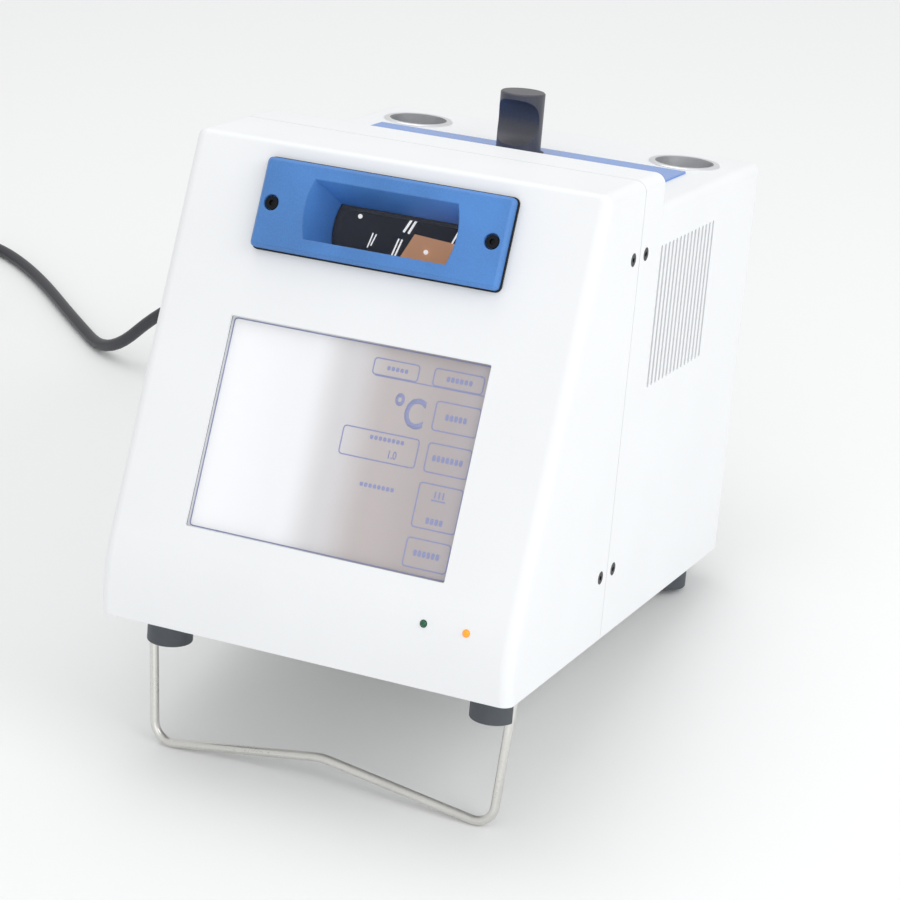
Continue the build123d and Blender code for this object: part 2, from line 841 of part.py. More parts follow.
def make_oven_plug():
    """Return the turned plug with its finger scoop and its spigot."""
    bottom = plate_top_z + fit_gap
    grip = Pos(0, oven_y, bottom) * drum(plug_radius, plug_height)
    grip = chamfer(grip.faces().sort_by(Axis.Z)[-1].edges(), 0.5)
    scoop_y = oven_y - scoop_web - scoop_radius
    scoop_z = bottom + plug_height - scoop_middle
    grip -= rod(scoop_radius, (-20, scoop_y, scoop_z), (20, scoop_y, scoop_z))
    spigot = Pos(0, oven_y, bottom - plug_spigot_length) * drum(
        plug_spigot, plug_spigot_length + 0.5)
    spigot = chamfer(spigot.faces().sort_by(Axis.Z)[0].edges(), 0.8)
    return grip + spigot


def make_tube_cup(side):
    """Return one spun metal cup for storing capillary tubes."""
    rim = Pos(side * cup_x, cup_y, rear_height) * drum(cup_rim_radius, cup_rim_thickness)
    rim = chamfer(rim.faces().sort_by(Axis.Z)[-1].edges(), 0.4)
    cup = rim + Pos(side * cup_x, cup_y, rear_height - cup_depth) * drum(cup_radius, cup_depth)
    return cup - Pos(side * cup_x, cup_y, rear_height - cup_depth + cup_wall) * drum(
        cup_radius - cup_wall, cup_depth + 2)


# Oven and optics


def peep_cut(width, height):
    """Return the window slot through the oven from front to back."""
    return block(
        (-width / 2, width / 2), (oven_y - 40, oven_y + 40),
        (peep_z - height / 2, peep_z + height / 2))


def make_oven_block():
    """Return the heated metal block with its capillary bores and viewing slot."""
    solid = Pos(0, oven_y, block_bottom_z) * drum(block_radius, block_top_z - block_bottom_z)
    solid -= peep_cut(capillary_pitch * capillary_count, peep_height - 4)
    for x in capillary_xs():
        solid -= Pos(x, oven_y, peep_z - peep_height / 2 - 2) * drum(capillary_radius, 40)
    for x in (-heater_x, heater_x):
        solid -= Pos(x, oven_y, block_bottom_z - 1) * drum(heater_radius + 0.1, heater_length + 1)
    solid -= Pos(0, oven_y + 7.5, block_bottom_z - 1) * drum(sensor_radius + 0.1, 9)
    return solid


def make_oven_sleeve():
    """Return the insulating sleeve round the oven block, open to the windows."""
    sleeve = block(
        (-sleeve_width / 2, sleeve_width / 2),
        (oven_y - sleeve_length / 2, oven_y + sleeve_length / 2),
        (shelf_z, sleeve_top_z))
    sleeve = fillet(sleeve.edges().filter_by(Axis.Z), 4)
    sleeve -= Pos(0, oven_y, block_bottom_z - fit_gap) * drum(
        block_radius + fit_gap, block_top_z - block_bottom_z + 2 * fit_gap)
    sleeve -= peep_cut(peep_width, peep_height)
    for x in capillary_xs():
        sleeve -= Pos(x, oven_y, block_top_z - 1) * drum(capillary_radius, 20)
    for x in (-heater_x, heater_x):
        sleeve -= Pos(x, oven_y, 0) * drum(heater_radius + fit_gap, block_bottom_z + 1)
    sleeve -= Pos(0, oven_y + 7.5, 0) * drum(sensor_radius + fit_gap, block_bottom_z + 1)
    return sleeve


def make_heaters():
    """Return the two cartridge heaters in the block."""
    length = heater_length + 6
    return [
        Pos(x, oven_y, block_bottom_z + heater_length - 0.5 - length) * drum(heater_radius, length)
        for x in (-heater_x, heater_x)]


def make_sensor():
    """Return the temperature sensor in the block."""
    return Pos(0, oven_y + 7.5, block_bottom_z + 7.5 - sensor_length) * drum(
        sensor_radius, sensor_length)


def make_optics_frame():
    """Return the folded frame that carries the oven, camera and lamp above the base."""
    half = frame_width / 2
    frame = block(
        (-half, half), (frame_front_y, frame_rear_y), (shelf_z - shelf_thickness, shelf_z))
    for side in (-1, 1):
        leg = sorted((side * half, side * (half - shelf_thickness)))
        frame += block(
            tuple(leg), (frame_front_y + 40, frame_rear_y), (supply_height + 8, shelf_z))
        for foot_y in (frame_front_y, frame_rear_y - frame_leg):
            frame += block(tuple(leg), (foot_y, foot_y + frame_leg), (base_thickness, shelf_z))
    frame -= Pos(0, oven_y, shelf_z - 5) * drum(13, 10)
    return frame


def lamp_board_y():
    """Return the front of the ring light board behind the oven."""
    return oven_y + sleeve_length / 2 + lamp_board_gap


def make_oven_lamp():
    """Return the ring light board behind the oven, with a hole for the camera lens."""
    front = lamp_board_y()
    half = ring_board_width / 2
    board = block((-half, half), (front, front + board_thickness), (shelf_z, peep_z + half))
    board -= rod(camera_barrel + 1, (0, front - 1, peep_z), (0, front + 3, peep_z))
    for turn in range(0, 360, 60):
        x = ring_radius * math.cos(math.radians(turn))
        z = peep_z + ring_radius * math.sin(math.radians(turn))
        board += rod(1.4, (x, front - 2.3, z), (x, front + 0.2, z))
    return board


def camera_board_y():
    """Return the front of the camera board."""
    return lamp_board_y() + camera_length - 2


def make_camera_board():
    """Return the camera board that stands on the optics frame."""
    front = camera_board_y()
    half = ring_board_width / 2
    board = block((-half, half), (front, front + board_thickness), (shelf_z, peep_z + half))
    return board + block(
        (-9, 9), (front + board_thickness - 0.2, front + 4), (peep_z - 8, peep_z + 8))


def make_camera_lens():
    """Return the camera's lens barrel, which looks at the oven's rear window."""
    back = camera_board_y() - 0.05
    front = back - camera_length
    barrel = rod(camera_barrel, (0, front, peep_z), (0, back, peep_z))
    barrel += rod(camera_barrel + 1.6, (0, back - 6, peep_z), (0, back - 1.5, peep_z))
    return barrel - rod(camera_barrel - 2, (0, front - 1, peep_z), (0, front + 3, peep_z))


# Rear panel


def rear_screw_places():
    """Return the places of the screws round the rear panel."""
    low, high = rear_screw_z
    return [(side * rear_screw_x, z) for side in (-1, 1) for z in (low, (low + high) / 2, high)]


def fan_hole_places():
    """Return the four fixing places of the fan."""
    half = fan_hole_pitch / 2
    return [(fan_x + x, fan_z + z) for x in (-half, half) for z in (-half, half)]


def make_rear_panel():
    """Return the metal rear panel with its cut-outs and fan grille."""
    ys = (panel_y, panel_y + panel_thickness)
    half = inner_half - max(edge_radius - wall, 1.0) - fit_gap
    top = inner_roof - max(edge_radius - wall, 1.0) - fit_gap
    panel = block((-half, half), ys, (base_thickness + 1, top))
    middle_z = inlet_z + inlet_height / 2 - inlet_width / 2
    half_tall = inlet_height / 2 - 3
    panel -= block(
        (inlet_x - inlet_width / 2 + 2, inlet_x + inlet_width / 2 - 2),
        (ys[0] - 1, ys[1] + 1), (middle_z - half_tall, middle_z + half_tall))
    panel -= block((usb_x - 6.4, usb_x + 6.4), (ys[0] - 1, ys[1] + 1), (11, 23.5))
    panel -= block((serial_x - 10, serial_x + 10), (ys[0] - 1, ys[1] + 1), (12, 23.5))
    for x, z in rear_screw_places():
        panel -= rod(cover_screw_radius + 0.15, (x, ys[0] - 1, z), (x, ys[1] + 1, z))
    for x, z in fan_hole_places():
        panel -= rod(cover_screw_radius + 0.4, (x, ys[0] - 1, z), (x, ys[1] + 1, z))
    grille = Plane(origin=(fan_x, ys[0] - 1, fan_z), x_dir=(-1, 0, 0), z_dir=(0, 1, 0))
    bars = [-24, -18, -12, -6, 0, 6, 12, 18, 24]
    for rise in bars:
        length = 2 * math.sqrt((fan_bore - 1) ** 2 - rise ** 2)
        panel -= grille * Pos(0, rise, 0) * extrude(
            SlotOverall(length, 3.4), amount=panel_thickness + 2)
    return panel


def make_rear_screws():
    """Return the pan head screws round the rear panel."""
    return [
        pan_screw(Location(Plane(origin=(x, case_depth, z), z_dir=(0, 1, 0))), pan_screw_length)
        for x, z in rear_screw_places()]


def inlet_middle_z():
    """Return the height of the inlet module's middle."""
    return inlet_z + inlet_height / 2 - inlet_width / 2


def make_power_inlet():
    """Return the inlet module: socket, fuse drawer bay and switch opening in one body."""
    front = panel_y + panel_thickness
    middle = inlet_middle_z()
    flange = Plane(origin=(inlet_x, front, middle), x_dir=(-1, 0, 0), z_dir=(0, 1, 0))
    module = flange * sheet(inlet_width, inlet_height, inlet_flange, 2)
    half_tall = inlet_height / 2 - 3 - fit_gap
    half_wide = inlet_width / 2 - 2 - fit_gap
    module += block(
        (inlet_x - half_wide, inlet_x + half_wide), (front - inlet_depth, front + 0.5),
        (middle - half_tall, middle + half_tall))
    face_y = front + inlet_flange
    module -= block(
        (inlet_x - socket_width / 2, inlet_x + socket_width / 2), (face_y - socket_depth, face_y + 1),
        (inlet_z - socket_height / 2, inlet_z + socket_height / 2))
    drawer_z = inlet_z + drawer_rise
    module -= block(
        (inlet_x - drawer_width / 2 - fit_gap, inlet_x + drawer_width / 2 + fit_gap),
        (face_y - drawer_depth, face_y + 1),
        (drawer_z - drawer_height / 2 - fit_gap, drawer_z + drawer_height / 2 + fit_gap))
    rocker_z = inlet_z + rocker_rise
    module -= block(
        (inlet_x - rocker_width / 2 - fit_gap, inlet_x + rocker_width / 2 + fit_gap),
        (face_y - 13, face_y + 1),
        (rocker_z - rocker_height / 2 - 1, rocker_z + rocker_height / 2 + 1))
    reach = rocker_width / 2 + rocker_pin_reach + fit_gap
    pivot_y = rocker_pivot()[0]
    module -= rod(
        rocker_pin + pin_gap, (inlet_x - reach, pivot_y, rocker_z),
        (inlet_x + reach, pivot_y, rocker_z))
    for x, z in inlet_pins():
        module += block((x - 1, x + 1), (face_y - socket_depth - 1, face_y - 3), (z - 2, z + 2))
    return module


def inlet_pins():
    """Return the places of the inlet's three blades."""
    return ((inlet_x - 7, inlet_z - 2), (inlet_x + 7, inlet_z - 2), (inlet_x, inlet_z + 2))


def make_fuse_drawer():
    """Return the fuse drawer: a faced tray that slides out of the inlet."""
    face_y = panel_y + panel_thickness + inlet_flange
    z = inlet_z + drawer_rise
    half = drawer_width / 2
    tall = drawer_height / 2
    drawer = block(
        (inlet_x - half, inlet_x + half), (face_y - drawer_depth + fit_gap, face_y + 0.6),
        (z - tall, z + tall))
    drawer -= block(
        (inlet_x - half + 2, inlet_x + half - 2), (face_y - drawer_depth + 2, face_y - 2),
        (z - tall + 1.2, z + tall + 1))
    return drawer + block((inlet_x - 3, inlet_x + 3), (face_y + 0.4, face_y + 1.8), (z - 1, z + 1))


def make_fuses():
    """Return the two glass fuses that lie in the drawer."""
    face_y = panel_y + panel_thickness + inlet_flange
    z = inlet_z + drawer_rise
    return [
        rod(2.1, (inlet_x + x, face_y - drawer_depth + 2.4, z), (inlet_x + x, face_y - 2.4, z))
        for x in (-4, 4)]


def rocker_pivot():
    """Return the rocker's pivot as (y, z)."""
    face_y = panel_y + panel_thickness + inlet_flange
    return face_y - rocker_pivot_depth, inlet_z + rocker_rise


def make_rocker():
    """Return the switch rocker with its pivot pins, rocked to its on position."""
    pivot_y, z = rocker_pivot()
    half = rocker_height / 2
    face_y = pivot_y + rocker_pivot_depth
    outline = Polyline(
        (pivot_y - 3, z - half + 3), (face_y + rocker_proud, z - half),
        (face_y + rocker_proud - 0.8, z), (face_y + rocker_proud, z + half),
        (pivot_y - 3, z + half - 3), (pivot_y - 3, z - half + 3))
    body = extrude(Plane.YZ * make_face(outline), amount=rocker_width / 2, both=True)
    reach = rocker_width / 2 + rocker_pin_reach
    body += rod(rocker_pin, (-reach, pivot_y, z), (reach, pivot_y, z))
    turn = Pos(inlet_x, pivot_y, z) * Rot(-rocker_rock, 0, 0) * Pos(0, -pivot_y, -z)
    return turn * body


def make_fan_frame():
    """Return the square fan frame with its motor seat and struts."""
    ys = (panel_y - fan_depth, panel_y)
    half = fan_size / 2
    frame = block((fan_x - half, fan_x + half), ys, (fan_z - half, fan_z + half))
    frame = fillet(frame.edges().filter_by(Axis.Y), 4)
    frame -= rod(fan_bore, (fan_x, ys[0] - 1, fan_z), (fan_x, ys[1] + 1, fan_z))
    seat = rod(fan_hub, (fan_x, ys[0], fan_z), (fan_x, ys[0] + 2, fan_z))
    for turn in (45, 165, 285):
        strut = block((0, fan_bore + 1), (ys[0], ys[0] + 2), (-1.5, 1.5))
        seat += Pos(fan_x, 0, fan_z) * Rot(0, turn, 0) * strut
    seat += rod(1.5, (fan_x, ys[0], fan_z), (fan_x, ys[1] - 4, fan_z))
    frame += seat
    for x, z in fan_hole_places():
        frame -= rod(cover_screw_radius + 0.4, (x, ys[0] - 1, z), (x, ys[1] + 1, z))
    return frame


def make_fan_rotor():
    """Return the fan's hub and blades."""
    front = panel_y - fan_depth + 2.4
    back = panel_y - 1.4
    rotor = rod(fan_hub - 0.6, (0, front, 0), (0, back, 0))
    rotor -= rod(1.5 + 0.05, (0, front - 1, 0), (0, back - 2, 0))
    blade = block((fan_hub - 1.6, fan_bore - 1), (front + 5.0, front + 6.4), (-5.5, 5.5))
    blade = Pos(0, front + 5.7, 0) * Rot(34, 0, 0) * Pos(0, -front - 5.7, 0) * blade
    for number in range(fan_blades):
        rotor += Rot(0, number * 360 / fan_blades, 0) * blade
    return Pos(fan_x, 0, fan_z) * rotor


def make_fan_screws():
    """Return the four screws that hold the fan to the rear panel."""
    outside = panel_y + panel_thickness
    return [
        pan_screw(Location(Plane(origin=(x, outside, z), z_dir=(0, 1, 0))), pan_screw_length)
        for x, z in fan_hole_places()]


def make_usb_socket():
    """Return the square USB socket at the rear of the main board."""
    back = panel_y + panel_thickness + 0.6
    socket = block((usb_x - 6, usb_x + 6), (back - 16, back), (board_z + board_thickness, 23))
    socket -= block((usb_x - 4.4, usb_x + 4.4), (back - 9, back + 1), (13.2, 21.2))
    socket += block((usb_x - 2.8, usb_x + 2.8), (back - 9.5, back - 1), (15.6, 18.8))
    return socket


def make_serial_socket():
    """Return the nine-pole serial socket with its jack posts."""
    back = panel_y + panel_thickness
    body = block(
        (serial_x - 15, serial_x + 15), (panel_y - 12, panel_y - 0.2),
        (board_z + board_thickness, 24))
    shell = block((serial_x - 8.4, serial_x + 8.4), (panel_y - 4, back + 5), (13.6, 22.0))
    shell = fillet(shell.edges().filter_by(Axis.Y), 2.5)
    body += shell
    body -= block((serial_x - 7.4, serial_x + 7.4), (back + 1.5, back + 6), (14.6, 21.0))
    for row, count, z in ((0, 5, 19.2), (1, 4, 16.4)):
        for number in range(count):
            x = serial_x + (number - (count - 1) / 2) * 2.77
            body += rod(0.5, (x, back, z), (x, back + 4.4, z))
    return body


# Boards and supply


def make_main_board():
    """Return the main board with its processor, relays and connectors."""
    left, front = board_x[0], board_y[0]
    board = block(board_x, board_y, (board_z, board_z + board_thickness))
    top = board_z + board_thickness - 0.2
    parts = (
        (9, 56, 26, 26, 2.6), (7, 30, 12, 16, 2.2), (5, 6, 22, 7, 9.0), (31, 6, 16, 7, 9.0),
        (5, 90, 14, 18, 12.0), (23, 90, 14, 18, 12.0), (27, 22, 20, 20, 5.0), (5, 120, 6, 24, 8.0))
    for across, back, width, length, tall in parts:
        board += block(
            (left + across, left + across + width), (front + back, front + back + length),
            (top, top + tall))
    for back in (122, 134, 146):
        board += Pos(left + 39, front + back, top) * drum(4.2, 11)
    return board


def make_board_standoffs():
    """Return the standoffs under the main board."""
    outer_x = bracket_inner - standoff_bracket_gap - standoff_radius
    places = [
        (x, y)
        for x in (board_x[0] + standoff_inset, outer_x)
        for y in (
            board_y[0] + standoff_inset, sum(board_y) / 2, board_y[1] - standoff_rear_inset)]
    standoff = drum(standoff_radius, board_z - base_thickness)
    return [Pos(x, y, base_thickness) * standoff for x, y in places]


def make_power_supply():
    """Return the caged power supply with a slotted cover."""
    zs = (base_thickness, base_thickness + supply_height)
    supply = block(supply_x, supply_y, zs)
    supply = fillet(supply.edges().filter_by(Axis.Y), 2)
    run = supply_y[1] - supply_y[0] - 2 * supply_slot_inset
    for number in range(int(run / supply_slot_pitch) + 1):
        y = supply_y[0] + supply_slot_inset + number * supply_slot_pitch
        supply -= block((supply_x[0] + 12, supply_x[1] - 12), (y, y + 4), (zs[1] - 3, zs[1] + 1))
    return supply


# Feet and bail


def make_foot(x, y):
    """Return a round moulded foot with a screw bore from below."""
    body = Pos(x, y, -foot_height) * drum(foot_radius, foot_height)
    body = fillet(body.faces().sort_by(Axis.Z)[0].edges(), foot_edge)
    body -= Pos(x, y, -foot_height - 1) * drum(foot_bore, foot_height + 1 - foot_cap)
    return body - Pos(x, y, -foot_height) * drum(2.2, foot_height + 1)


def make_front_feet():
    """Return the two front feet, notched behind for the bail's legs."""
    lean_in = (bail_top_x - bail_foot_x) * (foot_height + bail_pivot_z) / bail_length
    notch_inside = bail_top_x - bail_wire - lean_in - fit_gap
    feet = []
    for side in (-1, 1):
        foot = make_foot(side * foot_x, front_foot_y)
        notch_x = sorted((side * notch_inside, side * (foot_x + foot_radius + 5)))
        notch_front = front_foot_y - bail_wire - fit_gap
        foot -= block(tuple(notch_x), (notch_front, front_foot_y + 20), (-foot_height - 1, -1.6))
        foot -= rod(
            bail_wire + pin_gap, (side * (bail_pin_end - 0.4), front_foot_y, bail_pivot_z),
            (side * (bail_top_x + 5), front_foot_y, bail_pivot_z))
        feet.append(foot)
    return feet


def make_rear_feet():
    """Return the two rear feet."""
    return [make_foot(side * foot_x, rear_foot_y) for side in (-1, 1)]


def make_foot_screws():
    """Return the four screws up through the feet into the base."""
    shank = foot_cap + base_thickness + foot_screw_reach
    return [
        pan_screw(Pos(x, y, -foot_cap) * Rot(180, 0, 0), shank)
        for x in (-foot_x, foot_x) for y in (front_foot_y, rear_foot_y)]


def make_bail():
    """Return the wire bail: turned-in pins, converging legs and a kinked cross bar."""
    foot_z = bail_pivot_z - bail_length
    right = [
        Vector(bail_pin_end, front_foot_y, bail_pivot_z),
        Vector(bail_top_x, front_foot_y, bail_pivot_z),
        Vector(bail_foot_x, front_foot_y, foot_z),
        Vector(0, front_foot_y, foot_z + bail_rise)]
    left = [Vector(-point.X, point.Y, point.Z) for point in reversed(right[:-1])]
    bends = [bail_wire + 0.8, bail_corner, 30, bail_corner, bail_wire + 0.8]
    path = FilletPolyline(*right, *left, radius=bends)
    start = Plane(origin=path @ 0, z_dir=path % 0)
    return sweep(start * Circle(bail_wire), path=path)


# Power lead


def strain_relief(start, length):
    """Return a tapered, ribbed cord relief that rises from its thick end."""
    relief = start * Cone(
        relief_radius, relief_end_radius, length,
        align=(Align.CENTER, Align.CENTER, Align.MIN))
    grooves = int((length - 4) / relief_pitch)
    for number in range(grooves):
        rise = 4 + number * relief_pitch
        groove = start * Pos(0, 0, rise)
        inner = relief_radius - 1.1 - (relief_radius - relief_end_radius) * rise / length
        ring = drum(relief_radius + 1, relief_groove) - drum(inner, relief_groove)
        relief -= groove * ring
    return relief


def make_cord_connector():
    """Return the moulded connector with its contacts, grip and tapered relief."""
    face_y = panel_y + panel_thickness + inlet_flange
    nose = block(
        (inlet_x - socket_width / 2 + fit_gap, inlet_x + socket_width / 2 - fit_gap),
        (face_y - socket_depth + fit_gap + 1, face_y + fit_gap + 1),
        (inlet_z - socket_height / 2 + fit_gap, inlet_z + socket_height / 2 - fit_gap))
    for x, z in inlet_pins():
        nose -= block(
            (x - 1 - fit_gap, x + 1 + fit_gap), (face_y - socket_depth, face_y - 2),
            (z - 2 - fit_gap, z + 2 + fit_gap))
    start = Plane(
        origin=(inlet_x, face_y + fit_gap, inlet_z), x_dir=(-1, 0, 0), z_dir=(0, 1, 0))
    grip = loft([
        start * bevelled(27, 19.4, 3),
        start * Pos(0, 0, connector_body * 0.55) * bevelled(26, 18.6, 3.6),
        start * Pos(0, 0, connector_body) * bevelled(15, 13, 4)], ruled=True)
    relief_place = start * Pos(0, 0, connector_body - 0.5)
    return nose + grip + strain_relief(relief_place, relief_length + 0.5)


def coil_section(grow):
    """Return the coil's ring as a solid on the table, its section larger by grow."""
    height = 2 * coil_layers * cord_radius + grow
    middle = Plane(
        origin=(coil_x + coil_middle_radius, coil_y, 0), x_dir=(1, 0, 0), z_dir=(0, -1, 0))
    slab = Rectangle(2 * coil_half_width + 2 * grow, height)
    outline = middle * Pos(0, height / 2) * chamfer(slab.vertices(), coil_chamfer)
    return revolve(outline, Axis((coil_x, coil_y, 0), (0, 0, 1)))


def coil_turn_radius():
    """Return the radius of the coil's outermost turn."""
    return coil_middle_radius + coil_half_width - cord_radius


def tie_block(grow):
    """Return the slab that marks where the tie goes round the coil."""
    half = tie_width / 2 + grow
    near = coil_x - coil_middle_radius - coil_half_width - 5
    far = coil_x - coil_middle_radius + coil_half_width + 5
    return block((near, far), (coil_y - half, coil_y + half), (-1, 60))


def make_cord_tie():
    """Return the strap that holds the coil together on its far side."""
    strap = coil_section(tie_proud) & tie_block(0)
    return strap - coil_section(tie_proud - tie_thickness) - block(
        (coil_x - 80, coil_x), (coil_y - 20, coil_y + 20), (-2, 0))


def make_cord_coil():
    """Return the tied coil as one solid, with the cord's two ends leaving it."""
    coil = coil_section(0)
    turn = coil_turn_radius()
    start = (coil_x, coil_y + turn, cord_radius)
    coil += rod(cord_radius, start, (coil_x + coil_lead, coil_y + turn, cord_radius))
    top_z = (2 * coil_layers - 1) * cord_radius
    end = (coil_x - cord_radius, coil_y - turn, top_z)
    coil += rod(cord_radius, end, (coil_x + coil_lead, coil_y - turn, top_z))
    return coil - (tie_block(0) - coil_section(tie_proud - tie_thickness))


def make_mains_plug():
    """Return the three-pin plug that lies on its side beside the coil."""
    height = (2 * coil_layers - 1) * cord_radius
    start = Plane(
        origin=(coil_x + coil_lead, coil_y - coil_turn_radius(), height),
        x_dir=(0, 1, 0), z_dir=(1, 0, 0))
    relief = start * Pos(0, 0, plug_relief) * Rot(180, 0, 0)
    tall = 2 * height
    body = loft([
        start * Pos(0, 0, plug_relief - 0.5) * bevelled(14, 13, 4),
        start * Pos(0, 0, plug_relief + 12) * bevelled(25, tall - 0.6, 4),
        start * Pos(0, 0, plug_relief + plug_body) * bevelled(26, tall, 3.4)], ruled=True)
    body += strain_relief(relief, plug_relief)
    face_x = coil_x + coil_lead + plug_relief + plug_body
    y = coil_y - coil_turn_radius()
    for side in (-1, 1):
        z = height + side * blade_spread / 2
        blade = block(
            (face_x - 0.5, face_x + blade_length), (y + 1.0, y + 1.0 + blade_width),
            (z - blade_thickness / 2, z + blade_thickness / 2))
        body += chamfer(blade.faces().sort_by(Axis.X)[-1].edges(), 0.4)
    pin_y = y + 1.0 + blade_width / 2 - earth_offset
    pin_end = face_x + blade_length + 3
    return body + rod(earth_radius, (face_x - 0.5, pin_y, height), (pin_end, pin_y, height))


def lead_exit():
    """Return the point where the cord leaves its relief, in the standing frame."""
    y = panel_y + panel_thickness + inlet_flange + fit_gap + connector_body + relief_length
    stood = standing(y, inlet_z)
    return (inlet_x, stood[0] - stand_middle, stood[1])


def cord_route():
    """Return the points of the cord from its relief to the coil, standing on the table."""
    exit_x, exit_y, exit_z = lead_exit()
    back = (math.cos(tilt), -math.sin(tilt))
    return [
        (exit_x, exit_y, exit_z),
        (exit_x, exit_y + 24 * back[0], exit_z + 24 * back[1]),
        (-63.0, 222.0, 73.0),
        (-93.0, 238.0, 71.0),
        (-132.0, 238.0, 69.0),
        (-173.0, 224.0, 64.0),
        (-214.0, 205.0, 56.0),
        (-253.0, 189.5, 41.0),
        (-292.0, 190.0, cord_radius),
        (-333.0, 223.0, cord_radius),
        (-378.0, 262.0, cord_radius),
        (-414.0, 286.0, cord_radius),
        (-441.0, coil_y + coil_turn_radius(), cord_radius),
        (coil_x + coil_lead, coil_y + coil_turn_radius(), cord_radius)]


def sweep_route(points):
    """Return the cord's tube along its route and print each bend's radius."""
    corners = [Vector(*point) for point in points]
    radii = []
    for before, corner, after in zip(corners, corners[1:], corners[2:]):
        run_in = corner - before
        run_out = after - corner
        turn = math.radians(run_in.get_angle(run_out))
        shorter = min(run_in.length, run_out.length)
        radii.append(0.45 * shorter / math.tan(turn / 2))
    print("cord radii:", [round(radius, 1) for radius in radii])
    path = FilletPolyline(*corners, radius=radii)
    start = Plane(origin=path @ 0, z_dir=path % 0)
    tube = sweep(start * Circle(cord_radius), path=path)
    expected = math.pi * cord_radius ** 2 * path.length
    print("cord length:", round(path.length, 1), "volume share:", round(tube.volume / expected, 4))
    return tube


# All nodes

nodes = {
    "front_cover": make_front_cover(),
    "rear_cover": make_rear_cover(),
    "chassis_base": make_chassis_base(),
    "side_bracket_left": make_side_bracket(-1),
    "side_bracket_right": make_side_bracket(1),
    "cover_screws": make_cover_screws(),
    "magnifier_bezel": make_bezel(),
    "bezel_gasket": make_bezel_gasket(),
    "bezel_screws": make_bezel_screws(),
    "magnifier_lens": make_lens(),
    "lens_cap": make_lens_cap(),
    "view_hood": make_view_hood(),
    "touch_glass": make_touch_glass(),
    "lcd_module": make_lcd_module(),
    "display_bracket": make_display_bracket(),
    "display_screws": make_display_screws(),
    "display_board": make_display_board(),
    "ready_lamp": make_lamp(lamp_u[0]),
    "power_lamp": make_lamp(lamp_u[1]),
    "lamp_board": make_lamp_board(),
    "top_plate": make_top_plate(),
    "sample_guide": make_sample_guide(),
    "oven_plug": make_oven_plug(),
    "tube_cup_left": make_tube_cup(-1),
    "tube_cup_right": make_tube_cup(1),
    "oven_block": make_oven_block(),
    "oven_sleeve": make_oven_sleeve(),
    "oven_heaters": make_heaters(),
    "temperature_sensor": make_sensor(),
    "optics_frame": make_optics_frame(),
    "camera_board": make_camera_board(),
    "camera_lens": make_camera_lens(),
    "oven_lamp_board": make_oven_lamp(),
    "rear_panel": make_rear_panel(),
    "rear_screws": make_rear_screws(),
    "power_inlet": make_power_inlet(),
    "fuse_drawer": make_fuse_drawer(),
    "fuses": make_fuses(),
    "power_rocker": make_rocker(),
    "fan_frame": make_fan_frame(),
    "fan_rotor": make_fan_rotor(),
    "fan_screws": make_fan_screws(),
    "usb_socket": make_usb_socket(),
    "serial_socket": make_serial_socket(),
    "main_board": make_main_board(),
    "board_standoffs": make_board_standoffs(),
    "power_supply": make_power_supply(),
    "front_feet": make_front_feet(),
    "rear_feet": make_rear_feet(),
    "foot_screws": make_foot_screws(),
    "bail": make_bail(),
    "cord_connector": make_cord_connector(),
}

os.makedirs("parts", exist_ok=True)
for name, shape in nodes.items():
    solids = shape if isinstance(shape, list) else [shape]
    placed = Compound(children=[stand * solid for solid in solids])
    export_step(placed, f"parts/{name}.step")

loose = {
    "power_cord": sweep_route(cord_route()),
    "cord_coil": make_cord_coil(),
    "cord_tie": make_cord_tie(),
    "mains_plug": make_mains_plug(),
}
for name, solid in loose.items():
    export_step(solid, f"parts/{name}.step")
print("tilt", round(math.degrees(tilt), 3), "lean", round(math.degrees(lean), 3))
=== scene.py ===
"""Looks of a bench melting point apparatus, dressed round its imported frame.

Every length below is in millimetres unless its name says otherwise. A finished piece sits at
the origin with its place in its mesh, as the frame's own nodes do.
"""

import json
import logging
import math
from dataclasses import dataclass
from enum import Enum

import bpy
from mathutils import Matrix, Vector


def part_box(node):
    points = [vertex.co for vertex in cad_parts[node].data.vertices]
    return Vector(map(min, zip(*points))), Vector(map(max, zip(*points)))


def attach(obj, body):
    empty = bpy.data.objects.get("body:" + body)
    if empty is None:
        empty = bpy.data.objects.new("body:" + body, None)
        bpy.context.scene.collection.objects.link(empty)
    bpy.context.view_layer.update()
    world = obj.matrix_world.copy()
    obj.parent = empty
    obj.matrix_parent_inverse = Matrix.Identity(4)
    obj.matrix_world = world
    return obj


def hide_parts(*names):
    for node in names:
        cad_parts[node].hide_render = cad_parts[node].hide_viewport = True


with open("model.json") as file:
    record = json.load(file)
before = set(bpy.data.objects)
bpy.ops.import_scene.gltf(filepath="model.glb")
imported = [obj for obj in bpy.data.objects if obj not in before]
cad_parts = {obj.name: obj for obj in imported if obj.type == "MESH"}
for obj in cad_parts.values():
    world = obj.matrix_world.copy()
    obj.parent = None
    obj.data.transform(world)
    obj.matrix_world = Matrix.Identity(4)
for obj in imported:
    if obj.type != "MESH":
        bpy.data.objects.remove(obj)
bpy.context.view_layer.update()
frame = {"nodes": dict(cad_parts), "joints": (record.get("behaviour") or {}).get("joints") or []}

LOG = logging.getLogger("apparatus")
MM = 0.001
CASE = "case"

# How far the sloped face leans back from upright when the case stands level.
FACE_LEAN = math.radians(19.448)

# The sockets of a colour mix node, which share their names with its other kinds.
MIX_FACTOR, MIX_FIRST, MIX_SECOND, MIX_RESULT = 0, 6, 7, 2
# The fine noise that draws a grain, and its share in its sum with the slow noise.
GRAIN_NOISE = {"Scale": 1.0, "Detail": 3.0, "Roughness": 0.55}
FINE_SHARE = 0.5
# The slow noise: handling and moulding marks change over about 45 mm.
CLOUD_NOISE = {"Scale": 22.0, "Detail": 2.0}
# The span of that sum that the colour and the roughness vary over.
PATTERN_SPAN = {"From_Min": 0.5, "From_Max": 1.0}
